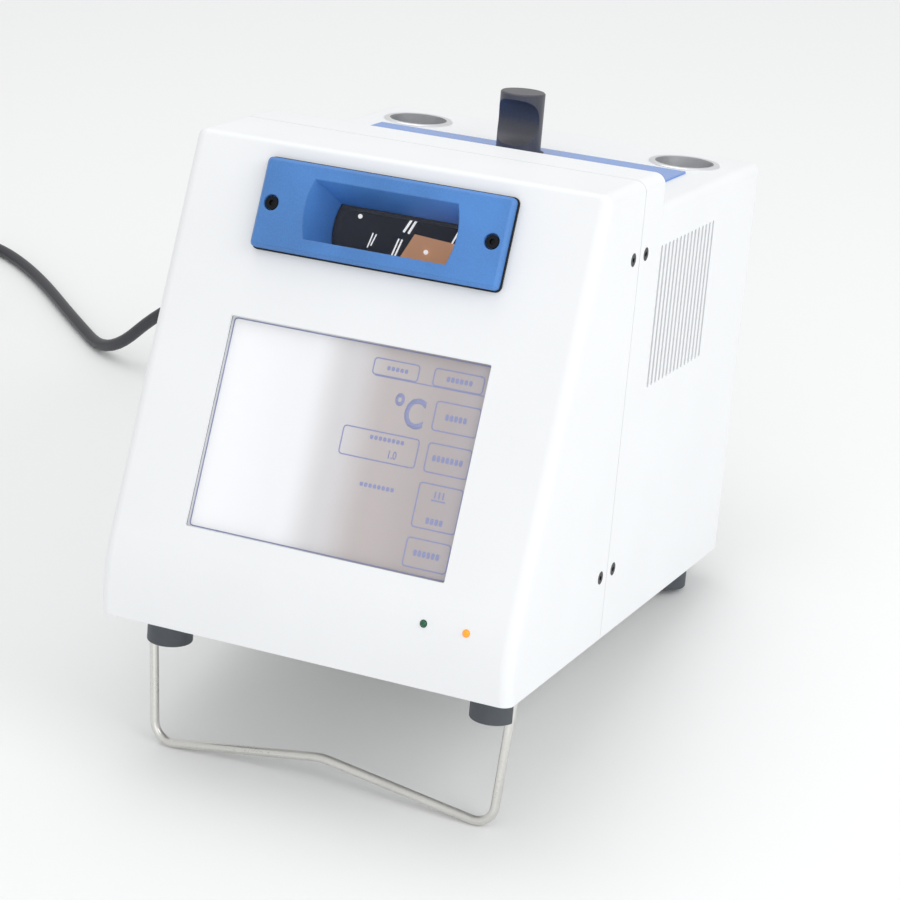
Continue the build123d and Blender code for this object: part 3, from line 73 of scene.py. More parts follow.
# How far the roughness swings to either side over it, and the least that it may be.
ROUGHNESS_SWING = 0.05
LOWEST_ROUGHNESS = 0.02
# How strongly a grain's height tells, and how finely shaded edges are sampled.
RELIEF_STRENGTH = 0.6
EDGE_SAMPLES = 4
# Tracks on a board lie a few millimetres apart. Their width is a share of that.
TRACK_CELL = 4.0
TRACK_SHARE = 0.06
TRACK_COLOUR = "3F8F5A"


def linear(code: str) -> tuple[float, float, float, float]:
    """Turn an sRGB hex colour into the linear colour that a shader takes.

    Args:
        code: The colour as six hex digits.

    Returns:
        Red, green, blue and an alpha of one.
    """
    parts = [int(code[place:place + 2], 16) / 255 for place in (0, 2, 4)]
    bent = [c / 12.92 if c <= 0.04045 else ((c + 0.055) / 1.055) ** 2.4 for c in parts]
    return (*bent, 1.0)


def add_node(
    tree: bpy.types.NodeTree, kind: str, settings: dict | None = None, **inputs: object
) -> bpy.types.Node:
    """Add a shader node with its settings and what feeds its sockets.

    Args:
        tree: The node tree that gets the node.
        kind: The node's type.
        settings: The node's own properties.
        **inputs: A value or an output socket for each named input, with _ for a space.

    Returns:
        The new node.
    """
    made = tree.nodes.new(kind)
    for name, value in (settings or {}).items():
        setattr(made, name, value)
    for name, value in inputs.items():
        socket = made.inputs[name.replace("_", " ")]
        if isinstance(value, bpy.types.NodeSocket):
            tree.links.new(value, socket)
        else:
            socket.default_value = value
    return made


class Texture(Enum):
    """How a surface was made, which sets its pattern."""

    GRAIN = "fine moulded grain"
    DRAWN = "lines along the direction that it was drawn or brushed in"
    SMOOTH = "moulded or polished smooth"
    BOARD = "copper tracks under solder mask"


@dataclass(frozen=True)
class Finish:
    """One material, from what the real one is and how its surface was made.

    The grain is the size of the pattern and the height its relief. The spread is how far the
    colour strays from its own, as a share, and the rounding is the radius that sharp edges
    are shaded with. The stretch scales the pattern along each axis.
    """

    name: str
    colour: str
    roughness: float
    metallic: float = 0.0
    texture: Texture = Texture.GRAIN
    grain: float = 0.7
    height: float = 0.03
    spread: float = 0.04
    rounding: float = 0.0
    coat: float = 0.0
    alpha: float = 1.0
    glow: str = ""
    glow_strength: float = 0.0
    stretch: tuple[float, float, float] = (1.0, 1.0, 1.0)

    def build(self) -> bpy.types.Material:
        """Make the material, or give back the one that was made before.

        Returns:
            The material, with its pattern on Object coordinates.
        """
        made = bpy.data.materials.get(self.name)
        if made:
            return made
        made = bpy.data.materials.new(self.name)
        made.use_nodes = True
        tree = made.node_tree
        tree.nodes.clear()
        shader = add_node(
            tree, "ShaderNodeBsdfPrincipled", Metallic=self.metallic, Alpha=self.alpha,
            Coat_Weight=self.coat)
        place = add_node(tree, "ShaderNodeTexCoord").outputs["Object"]
        scaled = add_node(
            tree, "ShaderNodeMapping", Vector=place,
            Scale=[axis / (self.grain * MM) for axis in self.stretch])
        noise = add_node(
            tree, "ShaderNodeTexNoise", Vector=scaled.outputs["Vector"], **GRAIN_NOISE)
        cloud = add_node(tree, "ShaderNodeTexNoise", Vector=place, **CLOUD_NOISE)
        self.colour_of(tree, shader, noise.outputs["Fac"], cloud.outputs["Fac"])
        self.relief_of(tree, shader, noise.outputs["Fac"])
        if self.glow:
            shader.inputs["Emission Color"].default_value = linear(self.glow)
            shader.inputs["Emission Strength"].default_value = self.glow_strength
        out = add_node(tree, "ShaderNodeOutputMaterial")
        tree.links.new(shader.outputs["BSDF"], out.inputs["Surface"])
        return made

    def colour_of(
        self, tree: bpy.types.NodeTree, shader: bpy.types.Node,
        noise: bpy.types.NodeSocket, cloud: bpy.types.NodeSocket,
    ) -> None:
        """Vary the colour and the roughness a little over the surface.

        Args:
            tree: The material's node tree.
            shader: The surface shader.
            noise: The fine pattern.
            cloud: The slow variation over some centimetres.
        """
        base = linear(self.colour)
        dark = [channel * (1 - self.spread) for channel in base[:3]]
        light = [min(channel * (1 + self.spread), 1.0) for channel in base[:3]]
        both = add_node(
            tree, "ShaderNodeMath", {"operation": "MULTIPLY_ADD"}, Value=noise)
        both.inputs[1].default_value = FINE_SHARE
        tree.links.new(cloud, both.inputs[2])
        share = add_node(
            tree, "ShaderNodeMapRange", Value=both.outputs["Value"], **PATTERN_SPAN)
        mix = add_node(tree, "ShaderNodeMix", {"data_type": "RGBA"})
        tree.links.new(share.outputs["Result"], mix.inputs[MIX_FACTOR])
        mix.inputs[MIX_FIRST].default_value = (*dark, 1.0)
        mix.inputs[MIX_SECOND].default_value = (*light, 1.0)
        colour = mix.outputs[MIX_RESULT]
        if self.texture is Texture.BOARD:
            colour = self.tracks_of(tree, colour)
        tree.links.new(colour, shader.inputs["Base Color"])
        rough = add_node(
            tree, "ShaderNodeMapRange", Value=both.outputs["Value"], **PATTERN_SPAN,
            To_Min=max(self.roughness - ROUGHNESS_SWING, LOWEST_ROUGHNESS),
            To_Max=min(self.roughness + ROUGHNESS_SWING, 1.0))
        tree.links.new(rough.outputs["Result"], shader.inputs["Roughness"])

    def tracks_of(
        self, tree: bpy.types.NodeTree, colour: bpy.types.NodeSocket
    ) -> bpy.types.NodeSocket:
        """Lay paler tracks over a board's solder mask.

        Args:
            tree: The material's node tree.
            colour: The mask's colour.

        Returns:
            The colour with the tracks.
        """
        place = add_node(tree, "ShaderNodeTexCoord").outputs["Object"]
        cells = add_node(
            tree, "ShaderNodeTexVoronoi",
            {"distance": "CHEBYCHEV", "feature": "DISTANCE_TO_EDGE"},
            Vector=place, Scale=1 / (TRACK_CELL * MM))
        line = add_node(
            tree, "ShaderNodeMath", {"operation": "LESS_THAN"},
            Value=cells.outputs["Distance"])
        line.inputs[1].default_value = TRACK_SHARE
        mix = add_node(tree, "ShaderNodeMix", {"data_type": "RGBA"})
        tree.links.new(line.outputs["Value"], mix.inputs[MIX_FACTOR])
        tree.links.new(colour, mix.inputs[MIX_FIRST])
        mix.inputs[MIX_SECOND].default_value = linear(TRACK_COLOUR)
        return mix.outputs[MIX_RESULT]

    def relief_of(
        self, tree: bpy.types.NodeTree, shader: bpy.types.Node, noise: bpy.types.NodeSocket
    ) -> None:
        """Give the surface its grain and, where asked, slightly rounded edges.

        Args:
            tree: The material's node tree.
            shader: The surface shader.
            noise: The fine pattern.
        """
        last = None
        if self.rounding:
            last = add_node(
                tree, "ShaderNodeBevel", {"samples": EDGE_SAMPLES},
                Radius=self.rounding * MM)
        if self.texture is not Texture.SMOOTH:
            bump = add_node(
                tree, "ShaderNodeBump", Height=noise, Strength=RELIEF_STRENGTH,
                Distance=self.height * MM)
            if last:
                tree.links.new(last.outputs["Normal"], bump.inputs["Normal"])
            last = bump
        if last:
            tree.links.new(last.outputs["Normal"], shader.inputs["Normal"])


# A grain below is in real millimetres. Moulded grain is really about 0.1 mm across and drawn or
# brushed lines are finer. Both would be lost between the pixels, so they are drawn coarser
# than real. The waviness of the cord and the chips of the mineral board are about real size.

# ABS with a fine spark-eroded texture, which keeps its highlights broad and soft.
WHITE_ABS = Finish(
    "white_abs", "F0F2F4", 0.42, grain=0.6, height=0.05, spread=0.012, rounding=0.3)
# The same moulding in pigmented blue, its grain coarse enough to sparkle.
BLUE_ABS = Finish(
    "blue_abs", "4A80C3", 0.42, grain=0.6, height=0.12, spread=0.22, rounding=0.9)
# Aluminium plate under blue enamel: smooth, with a clear gloss.
BLUE_ENAMEL = Finish(
    "blue_enamel", "4A85D6", 0.22, texture=Texture.SMOOTH, spread=0.02, rounding=0.2, coat=0.3)
# Black acetal bar stock, with the fine lines that it was drawn with up its sides. It is greyer
# than acetal is, as the bright photo shows it.
BLACK_ACETAL = Finish(
    "black_acetal", "4A4A50", 0.40, texture=Texture.DRAWN, grain=0.45, height=0.012,
    spread=0.25, rounding=0.3, stretch=(1.0, 1.0, 0.06))
# Moulded switch rocker, glossier than the inlet round it.
BLACK_GLOSS = Finish(
    "black_gloss", "15161A", 0.22, texture=Texture.SMOOTH, spread=0.1, rounding=0.3)
# White ink, printed on the rocker.
WHITE_PRINT = Finish("white_print", "E9EAEA", 0.5, texture=Texture.SMOOTH, spread=0.0)
# Glass-filled black plastic of the hood, cap and inlet: dull and slightly uneven.
BLACK_NYLON = Finish(
    "black_nylon", "222327", 0.50, grain=0.5, height=0.03, spread=0.12, rounding=0.2)
# Moulded rubber feet with a dusty sheen, greyer than the rubber is, as the photo shows them.
FOOT_RUBBER = Finish(
    "foot_rubber", "4B5056", 0.55, grain=0.6, height=0.05, spread=0.12, rounding=0.4)
# Foam rubber gasket, almost without gloss.
GASKET_RUBBER = Finish("gasket_rubber", "121317", 0.75, grain=0.4, height=0.05, spread=0.1)
# Flexible PVC of the lead: satin, with the slight waviness of an extrusion, and greyer than
# black PVC is, as the photo shows it.
CORD_PVC = Finish("cord_pvc", "34353A", 0.38, grain=2.5, height=0.05, spread=0.12)
# Stainless spring wire, drawn, so that fine lines run with it.
STAINLESS_WIRE = Finish(
    "stainless_wire", "DBDAD6", 0.30, metallic=1.0, texture=Texture.DRAWN, grain=0.35,
    height=0.012, spread=0.10, stretch=(0.25, 1.0, 0.25))
# Spun metal cups: bright, with soft lines that run round them.
SPUN_METAL = Finish(
    "spun_metal", "E8E9EB", 0.40, metallic=1.0, texture=Texture.DRAWN, grain=0.5,
    height=0.006, spread=0.05, stretch=(1.0, 1.0, 3.0))
# Rolled aluminium sheet with a light brush: grey, with fine lines across it.
SHEET_METAL = Finish(
    "sheet_aluminium", "C4C6C9", 0.38, metallic=1.0, texture=Texture.DRAWN, grain=0.3,
    height=0.008, spread=0.06, stretch=(0.12, 1.0, 1.0))
# Zinc-plated steel hardware: a cool grey shine, a little cloudy.
PLATED_STEEL = Finish(
    "zinc_plated_steel", "A9ABAE", 0.33, metallic=1.0, grain=0.4, height=0.01, spread=0.08)
# Steel screws with a black oxide finish: nearly black, with a dull metal shine.
BLACK_OXIDE = Finish(
    "black_oxide_steel", "1B1C20", 0.36, metallic=0.7, grain=0.3, height=0.008, spread=0.15)
# The lens's glass over a dark hood: a faint grey veil with a sharp gloss.
LENS_GLASS = Finish(
    "lens_glass", "747883", 0.03, texture=Texture.SMOOTH, spread=0.0, alpha=0.14)
# Clear glass tubes of the fuses, seen more by their gloss than by their colour.
FUSE_GLASS = Finish(
    "fuse_glass", "DDE6EA", 0.05, texture=Texture.SMOOTH, spread=0.0, alpha=0.35)
# Touch glass: a pale film over the display, with a slightly softened gloss.
PANEL_GLASS = Finish(
    "touch_glass", "E8ECEE", 0.12, texture=Texture.SMOOTH, spread=0.0, alpha=0.10)
# Epoxy board under green solder mask, glossy, with paler tracks.
BOARD = Finish(
    "circuit_board", "14532F", 0.35, texture=Texture.BOARD, grain=0.5, height=0.02, spread=0.05)
# Machined brass of the oven block, with its turning lines.
BRASS = Finish(
    "machined_brass", "B8934E", 0.30, metallic=1.0, texture=Texture.DRAWN, grain=0.4,
    height=0.01, spread=0.06, stretch=(1.0, 1.0, 0.2))
# Pressed mineral board round the oven, copper coloured and chalky.
MINERAL_BOARD = Finish(
    "mineral_board", "B5835E", 0.70, grain=0.8, height=0.08, spread=0.08)
# The same board with the oven lamp's light painted in, lighter and glowing, as the magnifier
# shows it.
PAINTED_LAMPLIT_BOARD = Finish(
    "mineral_board_painted_lamplight", "BC8A64", 0.6, grain=0.8, height=0.04, spread=0.06, glow="B5835E",
    glow_strength=0.75)
# Diffused green epoxy of the indicator lamp that isn't lit.
GREEN_LAMP = Finish(
    "green_lamp", "0E5B3A", 0.22, texture=Texture.SMOOTH, spread=0.05)
# Diffused amber epoxy of the lamp that is lit.
AMBER_LAMP = Finish(
    "amber_lamp", "EE8F22", 0.22, texture=Texture.SMOOTH, spread=0.02, glow="FF9320",
    glow_strength=0.55)
# Ink of the display's layout, violet where the polariser shows.
SCREEN_INK = Finish("screen_ink", "7F86BE", 0.5, texture=Texture.SMOOTH, spread=0.05)
# Clear lamp ends glow as lamps; the glass tubes' white glow is painted light from the oven's
# lamp.
LAMP_AND_PAINTED_GLOW = Finish(
    "lamp_and_painted_glow", "F7F8FA", 0.3, texture=Texture.SMOOTH, spread=0.0, glow="FFFFFF",
    glow_strength=0.8)


@dataclass(frozen=True)
class ScreenFinish:
    """The lit display with a painted reflection: bright at its left, falling to a warm grey at
    its right.

    A stop is its place across the case and its colour.
    """

    name: str = "display_painted_reflection"
    # The stops lay a painted reflection across the display, brightest at its left.
    stops: tuple[tuple[float, str], ...] = (
        (-62.0, "F0F0F2"), (-20.0, "E8E8EB"), (-2.0, "C9C6C8"), (18.0, "AFA4A3"),
        (45.0, "A29696"), (62.0, "A79EA3"))
    roughness: float = 0.45
    glow: float = 0.20

    def build(self) -> bpy.types.Material:
        """Make the display's material.

        Returns:
            The material, its colour ramp laid across the case in millimetres.
        """
        made = bpy.data.materials.new(self.name)
        made.use_nodes = True
        tree = made.node_tree
        tree.nodes.clear()
        place = add_node(tree, "ShaderNodeTexCoord").outputs["Object"]
        across = add_node(tree, "ShaderNodeSeparateXYZ", Vector=place)
        low, high = self.stops[0][0], self.stops[-1][0]
        share = add_node(
            tree, "ShaderNodeMapRange", Value=across.outputs["X"],
            From_Min=low * MM, From_Max=high * MM)
        ramp = add_node(tree, "ShaderNodeValToRGB", Fac=share.outputs["Result"])
        ramp.color_ramp.interpolation = "EASE"
        points = ramp.color_ramp.elements
        # The new points start in the middle, and every point is then put in its own place.
        while len(points) < len(self.stops):
            points.new(0.5)
        for point, (at, code) in zip(points, self.stops):
            point.position = (at - low) / (high - low)
            point.color = linear(code)
        shader = add_node(
            tree, "ShaderNodeBsdfPrincipled", Base_Color=ramp.outputs["Color"],
            Roughness=self.roughness, Emission_Color=ramp.outputs["Color"],
            Emission_Strength=self.glow)
        out = add_node(tree, "ShaderNodeOutputMaterial")
        tree.links.new(shader.outputs["BSDF"], out.inputs["Surface"])
        return made


def dress(finish: Finish, *names: str) -> None:
    """Give frame nodes their finish.

    Args:
        finish: The finish that they share.
        *names: The nodes.
    """
    material = finish.build()
    for name in names:
        for slot in frame["nodes"][name].material_slots:
            slot.material = material
        LOG.info("%s: %s", name, finish.name)


def clear_selection() -> None:
    """Deselect every object."""
    for thing in bpy.context.selected_objects:
        thing.select_set(False)


def settle(
    piece: bpy.types.Object, name: str, material: bpy.types.Material, body: str = CASE
) -> bpy.types.Object:
    """Finish a new piece: name it, bake its place into its mesh and dress it.

    Args:
        piece: The new object.
        name: The piece's name.
        material: Its material.
        body: The body that it rides on.

    Returns:
        The piece, at the origin and riding on its body.
    """
    piece.name = name
    piece.data.name = name
    bpy.context.view_layer.update()
    piece.data.transform(piece.matrix_world)
    piece.matrix_world = Matrix.Identity(4)
    piece.data.materials.clear()
    piece.data.materials.append(material)
    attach(piece, body)
    LOG.info("%s: %d faces", name, len(piece.data.polygons))
    return piece


def reshape(piece: bpy.types.Object, kind: str, **settings: object) -> None:
    """Add a modifier to the active object and apply it.

    Args:
        piece: The active object.
        kind: The modifier's type.
        **settings: The modifier's own properties.
    """
    modifier = piece.modifiers.new(kind.lower(), kind)
    for name, value in settings.items():
        setattr(modifier, name, value)
    bpy.ops.object.modifier_apply(modifier=modifier.name)


def new_line(name: str, radius: float, resolution: int) -> bpy.types.Object:
    """Make an empty curve with round, closed thickness.

    Args:
        name: The name of the object and of its curve.
        radius: The curve's radius, in millimetres.
        resolution: The steps in a quarter of its section, less one.

    Returns:
        The object, at the origin of the scene.
    """
    line = bpy.data.curves.new(name, "CURVE")
    line.dimensions = "3D"
    line.bevel_depth = radius * MM
    line.bevel_resolution = resolution
    line.use_fill_caps = True
    made = bpy.data.objects.new(name, line)
    bpy.context.scene.collection.objects.link(made)
    return made


def as_mesh(line: bpy.types.Object) -> bpy.types.Object:
    """Turn a curve into a mesh, with nothing else selected.

    Args:
        line: The curve.

    Returns:
        The object with its mesh.
    """
    clear_selection()
    line.select_set(True)
    bpy.context.view_layer.objects.active = line
    bpy.ops.object.convert(target="MESH")
    return bpy.context.object


def joint(name: str) -> dict:
    """Look up a joint of the frame.

    Args:
        name: The joint's name.

    Returns:
        The frame's entry for it.
    """
    return next(entry for entry in frame["joints"] if entry["name"] == name)


@dataclass
class FaceFrame:
    """The sloped face's own axes, with the case tilted as it stands on its bail."""

    centre: Vector
    right: Vector
    up: Vector
    out: Vector

    @classmethod
    def of_node(cls, node: str) -> "FaceFrame":
        """Build the axes round the middle of a flat node that lies along the face.

        Args:
            node: The node's name.

        Returns:
            The face's axes, with their centre in the node's middle.
        """
        axis = Vector(joint("plug_lift")["axis"])
        lean = FACE_LEAN + math.atan2(axis.y, axis.z)
        low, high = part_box(node)
        return cls(
            centre=(low + high) / 2,
            right=Vector((1, 0, 0)),
            up=Vector((0, math.sin(lean), math.cos(lean))),
            out=Vector((0, -math.cos(lean), math.sin(lean))))

    def matrix(self, across: float, rise: float, proud: float) -> Matrix:
        """Return the place of a piece on the face.

        Args:
            across: How far to the right of the centre.
            rise: How far up the face.
            proud: How far out of the face.

        Returns:
            The matrix that takes a flat piece there.
        """
        place = self.centre + (self.right * across + self.up * rise + self.out * proud) * MM
        turn = Matrix((self.right, self.up, self.out)).transposed()
        return Matrix.Translation(place) @ turn.to_4x4()


@dataclass
class Enclosure:
    """The moulded covers, the metal inside them and what fastens them."""

    def build(self) -> None:
        """Dress the covers, chassis and screws."""
        dress(WHITE_ABS, "front_cover", "rear_cover")
        dress(BLUE_ENAMEL, "top_plate")
        dress(BLACK_OXIDE, "cover_screws")
        dress(
            SHEET_METAL, "chassis_base", "side_bracket_left", "side_bracket_right",
            "rear_panel", "optics_frame", "display_bracket", "power_supply")
        dress(
            PLATED_STEEL, "rear_screws", "fan_screws", "foot_screws", "display_screws",
            "board_standoffs")


@dataclass
class Magnifier:
    """The blue bezel with its funnel, lens, cap and dark hood, and what it looks at.

    The places are across and up the lens, from its middle. A tube is its two ends and its
    radius. What it looks at lies just behind the lens, where it seems to be when it is looked
    at through the glass.
    """

    depth: float = 6.2
    plate_thickness: float = 0.8
    plate_rounding: float = 0.2
    plate_edge: tuple[tuple[float, float], ...] = (
        (0.2, -8.2), (22.6, -8.2), (24.8, 0.3), (23.4, 2.2), (5.0, 3.3))
    tubes: tuple[tuple[float, float, float, float, float], ...] = (
        (3.1, 9.6, 0.3, 3.2, 0.5), (5.3, 9.6, 2.6, 2.9, 0.5), (-1.1, 0.1, -2.8, -7.6, 0.33),
        (0.5, 0.0, -1.3, -7.6, 0.36), (-13.2, 0.6, -14.5, -5.9, 0.28),
        (-11.6, 0.3, -13.1, -4.9, 0.28), (25.2, 8.6, 22.9, 2.0, 0.35),
        (26.4, 6.0, 24.4, 1.4, 0.35))
    pilots: tuple[tuple[float, float], ...] = ((12.1, -3.5), (-20.8, 6.6))
    tube_lift: float = 1.0
    pilot_radius: float = 1.0
    pilot_rounding: float = 0.4
    pilot_lift: float = 0.8
    pilot_sides: int = 24

    def build(self) -> None:
        """Dress the magnifier's pieces and make what it looks at."""
        dress(BLUE_ABS, "magnifier_bezel")
        dress(GASKET_RUBBER, "bezel_gasket")
        dress(BLACK_OXIDE, "bezel_screws")
        dress(LENS_GLASS, "magnifier_lens")
        dress(BLACK_NYLON, "lens_cap", "view_hood")
        lens = FaceFrame.of_node("magnifier_lens")
        self.make_plate(lens)
        self.make_tubes(lens)
        self.make_pilots(lens)

    def make_plate(self, lens: FaceFrame) -> None:
        """Make the front of the oven, with the lamp's light painted on it.

        Args:
            lens: The lens's axes.
        """
        clear_selection()
        bpy.ops.mesh.primitive_circle_add(vertices=len(self.plate_edge), fill_type="NGON")
        plate = bpy.context.object
        for corner, (across, rise) in zip(plate.data.vertices, self.plate_edge):
            corner.co = (across * MM, rise * MM, 0)
        reshape(plate, "SOLIDIFY", thickness=self.plate_thickness * MM)
        reshape(plate, "BEVEL", width=self.plate_rounding * MM, segments=2)
        plate.matrix_world = lens.matrix(0, 0, -self.depth)
        settle(plate, "oven_front", PAINTED_LAMPLIT_BOARD.build())

    def make_tubes(self, lens: FaceFrame) -> None:
        """Make the capillary tubes, seen at a slant, with the oven lamp's light painted on them.

        Args:
            lens: The lens's axes.
        """
        tubes = new_line("sample_tubes", radius=1.0, resolution=3)
        for start_x, start_y, end_x, end_y, radius in self.tubes:
            spline = tubes.data.splines.new("POLY")
            spline.points.add(1)
            for point, across, rise in zip(spline.points, (start_x, end_x), (start_y, end_y)):
                point.co = (across * MM, rise * MM, 0, 1)
                point.radius = radius
        tubes.matrix_world = lens.matrix(0, 0, self.tube_lift - self.depth)
        settle(as_mesh(tubes), "sample_tubes", LAMP_AND_PAINTED_GLOW.build())

    def make_pilots(self, lens: FaceFrame) -> None:
        """Make the small lamps that light the samples.

        Args:
            lens: The lens's axes.
        """
        lamps = []
        for across, rise in self.pilots:
            clear_selection()
            bpy.ops.mesh.primitive_cylinder_add(
                vertices=self.pilot_sides, radius=self.pilot_radius * MM,
                depth=self.pilot_radius * MM)
            lamp = bpy.context.object
            reshape(lamp, "BEVEL", width=self.pilot_rounding * MM, segments=3)
            lamp.matrix_world = lens.matrix(across, rise, self.pilot_lift - self.depth)
            lamps.append(lamp)
        for lamp in lamps:
            lamp.select_set(True)
        bpy.ops.object.join()
        settle(bpy.context.object, "oven_pilots", LAMP_AND_PAINTED_GLOW.build())


class Mark(Enum):
    """The shapes that the display's generic layout is drawn with."""

    FRAME = "outlined box"
    BAR = "filled bar"
    WORD = "row of blocks in place of a word"
    FIGURES = "digits or a unit sign"


@dataclass(frozen=True)
class ScreenMark:
    """One shape of the display's layout, in millimetres from the screen's middle."""

    kind: Mark
    across: float
    rise: float
    width: float
    height: float
    text: str = ""


@dataclass
class Display:
    """The touch glass, the lit panel behind it with its painted reflection, and the layout that
    it shows.

    The panel's rim is a share of its width. The bold and narrow values thicken the figures
    by a share of their height and scale their width.
    """

    width: float = 121.0
    height: float = 92.0
    thickness: float = 0.4
    rim: float = 0.004
    depth: float = 1.05
    line: float = 0.55
    corner: float = 1.6
    corner_share: float = 0.4
    ink_lift: float = 0.08
    ink_thickness: float = 0.04
    letter: float = 1.5
    letter_gap: float = 0.5
    bold: float = 0.02
    narrow: float = 0.78
    marks: tuple[ScreenMark, ...] = (
        ScreenMark(Mark.FRAME, 0.0, 0.0, 119.0, 90.0),
        ScreenMark(Mark.FRAME, 48.6, 20.9, 20.4, 12.6),
        ScreenMark(Mark.FRAME, 48.8, 3.6, 19.8, 12.6),
        ScreenMark(Mark.FRAME, 48.7, -16.2, 20.0, 19.0),
        ScreenMark(Mark.FRAME, 48.5, -35.9, 20.0, 12.5),
        ScreenMark(Mark.FRAME, 17.6, 3.7, 35.0, 12.5),
        ScreenMark(Mark.FRAME, 46.0, 36.4, 22.8, 7.8),
        ScreenMark(Mark.FRAME, 17.8, 36.2, 21.0, 7.4),
        ScreenMark(Mark.BAR, 34.0, 32.4, 50.0, 0.5),
        ScreenMark(Mark.BAR, 48.4, -13.4, 6.4, 0.6),
        ScreenMark(Mark.BAR, 46.6, -11.0, 0.7, 3.0),
        ScreenMark(Mark.BAR, 48.4, -11.0, 0.7, 3.0),
        ScreenMark(Mark.BAR, 50.2, -11.0, 0.7, 3.0),
        ScreenMark(Mark.WORD, 46.4, 36.4, 12.0, 2.2),
        ScreenMark(Mark.WORD, 18.5, 36.2, 10.0, 1.8),
        ScreenMark(Mark.WORD, 48.4, 20.9, 10.0, 2.6),
        ScreenMark(Mark.WORD, 48.6, 3.6, 14.0, 2.6),
        ScreenMark(Mark.WORD, 48.6, -22.0, 8.0, 2.6),
        ScreenMark(Mark.WORD, 48.3, -35.8, 12.0, 2.6),
        ScreenMark(Mark.WORD, 20.5, -12.8, 16.0, 1.8),
        ScreenMark(Mark.WORD, 20.5, 7.0, 16.0, 1.8),
        ScreenMark(Mark.FIGURES, 27.2, 14.0, 0.0, 17.5, "\u00b0C"),
        ScreenMark(Mark.FIGURES, 24.0, -0.3, 0.0, 4.6, "1.0"),
    )

    def build(self) -> None:
        """Dress the display's nodes and make its lit panel and layout."""
        dress(PANEL_GLASS, "touch_glass")
        dress(BLACK_NYLON, "lcd_module")
        dress(BOARD, "display_board", "lamp_board")
        dress(GREEN_LAMP, "ready_lamp")
        dress(AMBER_LAMP, "power_lamp")
        face = FaceFrame.of_node("touch_glass")
        self.make_panel(face)
        self.make_layout(face)

    def make_panel(self, face: FaceFrame) -> None:
        """Make the lit panel behind the glass, which carries the painted reflection.

        Args:
            face: The sloped face's axes.
        """
        clear_selection()
        bpy.ops.mesh.primitive_plane_add(size=1)
        panel = bpy.context.object
        panel.matrix_world = face.matrix(0, 0, -self.depth) @ Matrix.Diagonal(
            (self.width * MM, self.height * MM, 1, 1))
        bpy.ops.object.mode_set(mode="EDIT")
        bpy.ops.mesh.select_all(action="SELECT")
        bpy.ops.mesh.inset(thickness=self.rim)
        bpy.ops.object.mode_set(mode="OBJECT")
        reshape(panel, "SOLIDIFY", thickness=self.thickness * MM, offset=-1)
        settle(panel, "screen_panel", ScreenFinish().build())

    def make_box(self, mark: ScreenMark) -> bpy.types.Object:
        """Make a box or bar of the layout, flat at the origin.

        Args:
            mark: The shape and its place.

        Returns:
            The shape, with its corners rounded and a box's middle taken out.
        """
        clear_selection()
        bpy.ops.mesh.primitive_plane_add(size=1)
        shape = bpy.context.object
        shape.data.transform(Matrix.Diagonal((mark.width * MM, mark.height * MM, 1, 1)))
        bpy.ops.object.mode_set(mode="EDIT")
        bpy.ops.mesh.select_all(action="SELECT")
        corner = min(self.corner, min(mark.height, mark.width) * self.corner_share) * MM
        bpy.ops.mesh.bevel(offset=corner, segments=3, affect="VERTICES")
        if mark.kind is Mark.FRAME:
            bpy.ops.mesh.select_all(action="SELECT")
            bpy.ops.mesh.inset(thickness=self.line * MM)
            bpy.ops.mesh.delete(type="ONLY_FACE")
        bpy.ops.object.mode_set(mode="OBJECT")
        return shape

    def make_figures(self, mark: ScreenMark) -> bpy.types.Object:
        """Make digits or a unit sign of the layout, flat at the origin.

        Args:
            mark: The text and its place.

        Returns:
            The text as a mesh.
        """
        clear_selection()
        bpy.ops.object.text_add()
        words = bpy.context.object
        words.data.body = mark.text
        words.data.size = mark.height * MM
        words.data.align_x = "CENTER"
        words.data.resolution_u = 3
        words.data.offset = self.bold * mark.height * MM
        bpy.ops.object.convert(target="MESH")
        words = bpy.context.object
        words.data.transform(Matrix.Diagonal((self.narrow, 1, 1, 1)))
        return words

    def spell(self, mark: ScreenMark) -> list[ScreenMark]:
        """Turn a word into the row of blocks that stands for it.

        Args:
            mark: The word's place and size.

        Returns:
            One bar for each letter.
        """
        pitch = self.letter + self.letter_gap
        count = round(mark.width / pitch)
        first = mark.across - pitch * (count - 1) / 2
        return [
            ScreenMark(Mark.BAR, first + pitch * number, mark.rise, self.letter, mark.height)
            for number in range(count)]

    def make_layout(self, face: FaceFrame) -> None:
        """Make the display's generic layout as one piece.

        Args:
            face: The sloped face's axes.
        """
        plain = [mark for mark in self.marks if mark.kind is not Mark.WORD]
        for mark in self.marks:
            if mark.kind is Mark.WORD:
                plain += self.spell(mark)
        shapes = []
        for mark in plain:
            make = self.make_figures if mark.kind is Mark.FIGURES else self.make_box
            shape = make(mark)
            shape.matrix_world = face.matrix(
                mark.across, mark.rise, self.ink_lift - self.depth)
            shapes.append(shape)
        clear_selection()
        for shape in shapes:
            shape.select_set(True)
        bpy.context.view_layer.objects.active = shapes[0]
        bpy.ops.object.join()
        layout = bpy.context.object
        reshape(layout, "SOLIDIFY", thickness=self.ink_thickness * MM)
        settle(layout, "screen_layout", SCREEN_INK.build())


@dataclass
class Oven:
    """The plug, cups and heated block with its optics."""

    def build(self) -> None:
        """Dress the oven's and camera's pieces."""
        dress(BLACK_ACETAL, "oven_plug")
        dress(BLACK_NYLON, "sample_guide", "camera_lens")
        dress(SPUN_METAL, "tube_cup_left", "tube_cup_right")
        dress(BRASS, "oven_block")
        dress(MINERAL_BOARD, "oven_sleeve")
        dress(PLATED_STEEL, "oven_heaters", "temperature_sensor")
        dress(BOARD, "camera_board", "oven_lamp_board", "main_board")


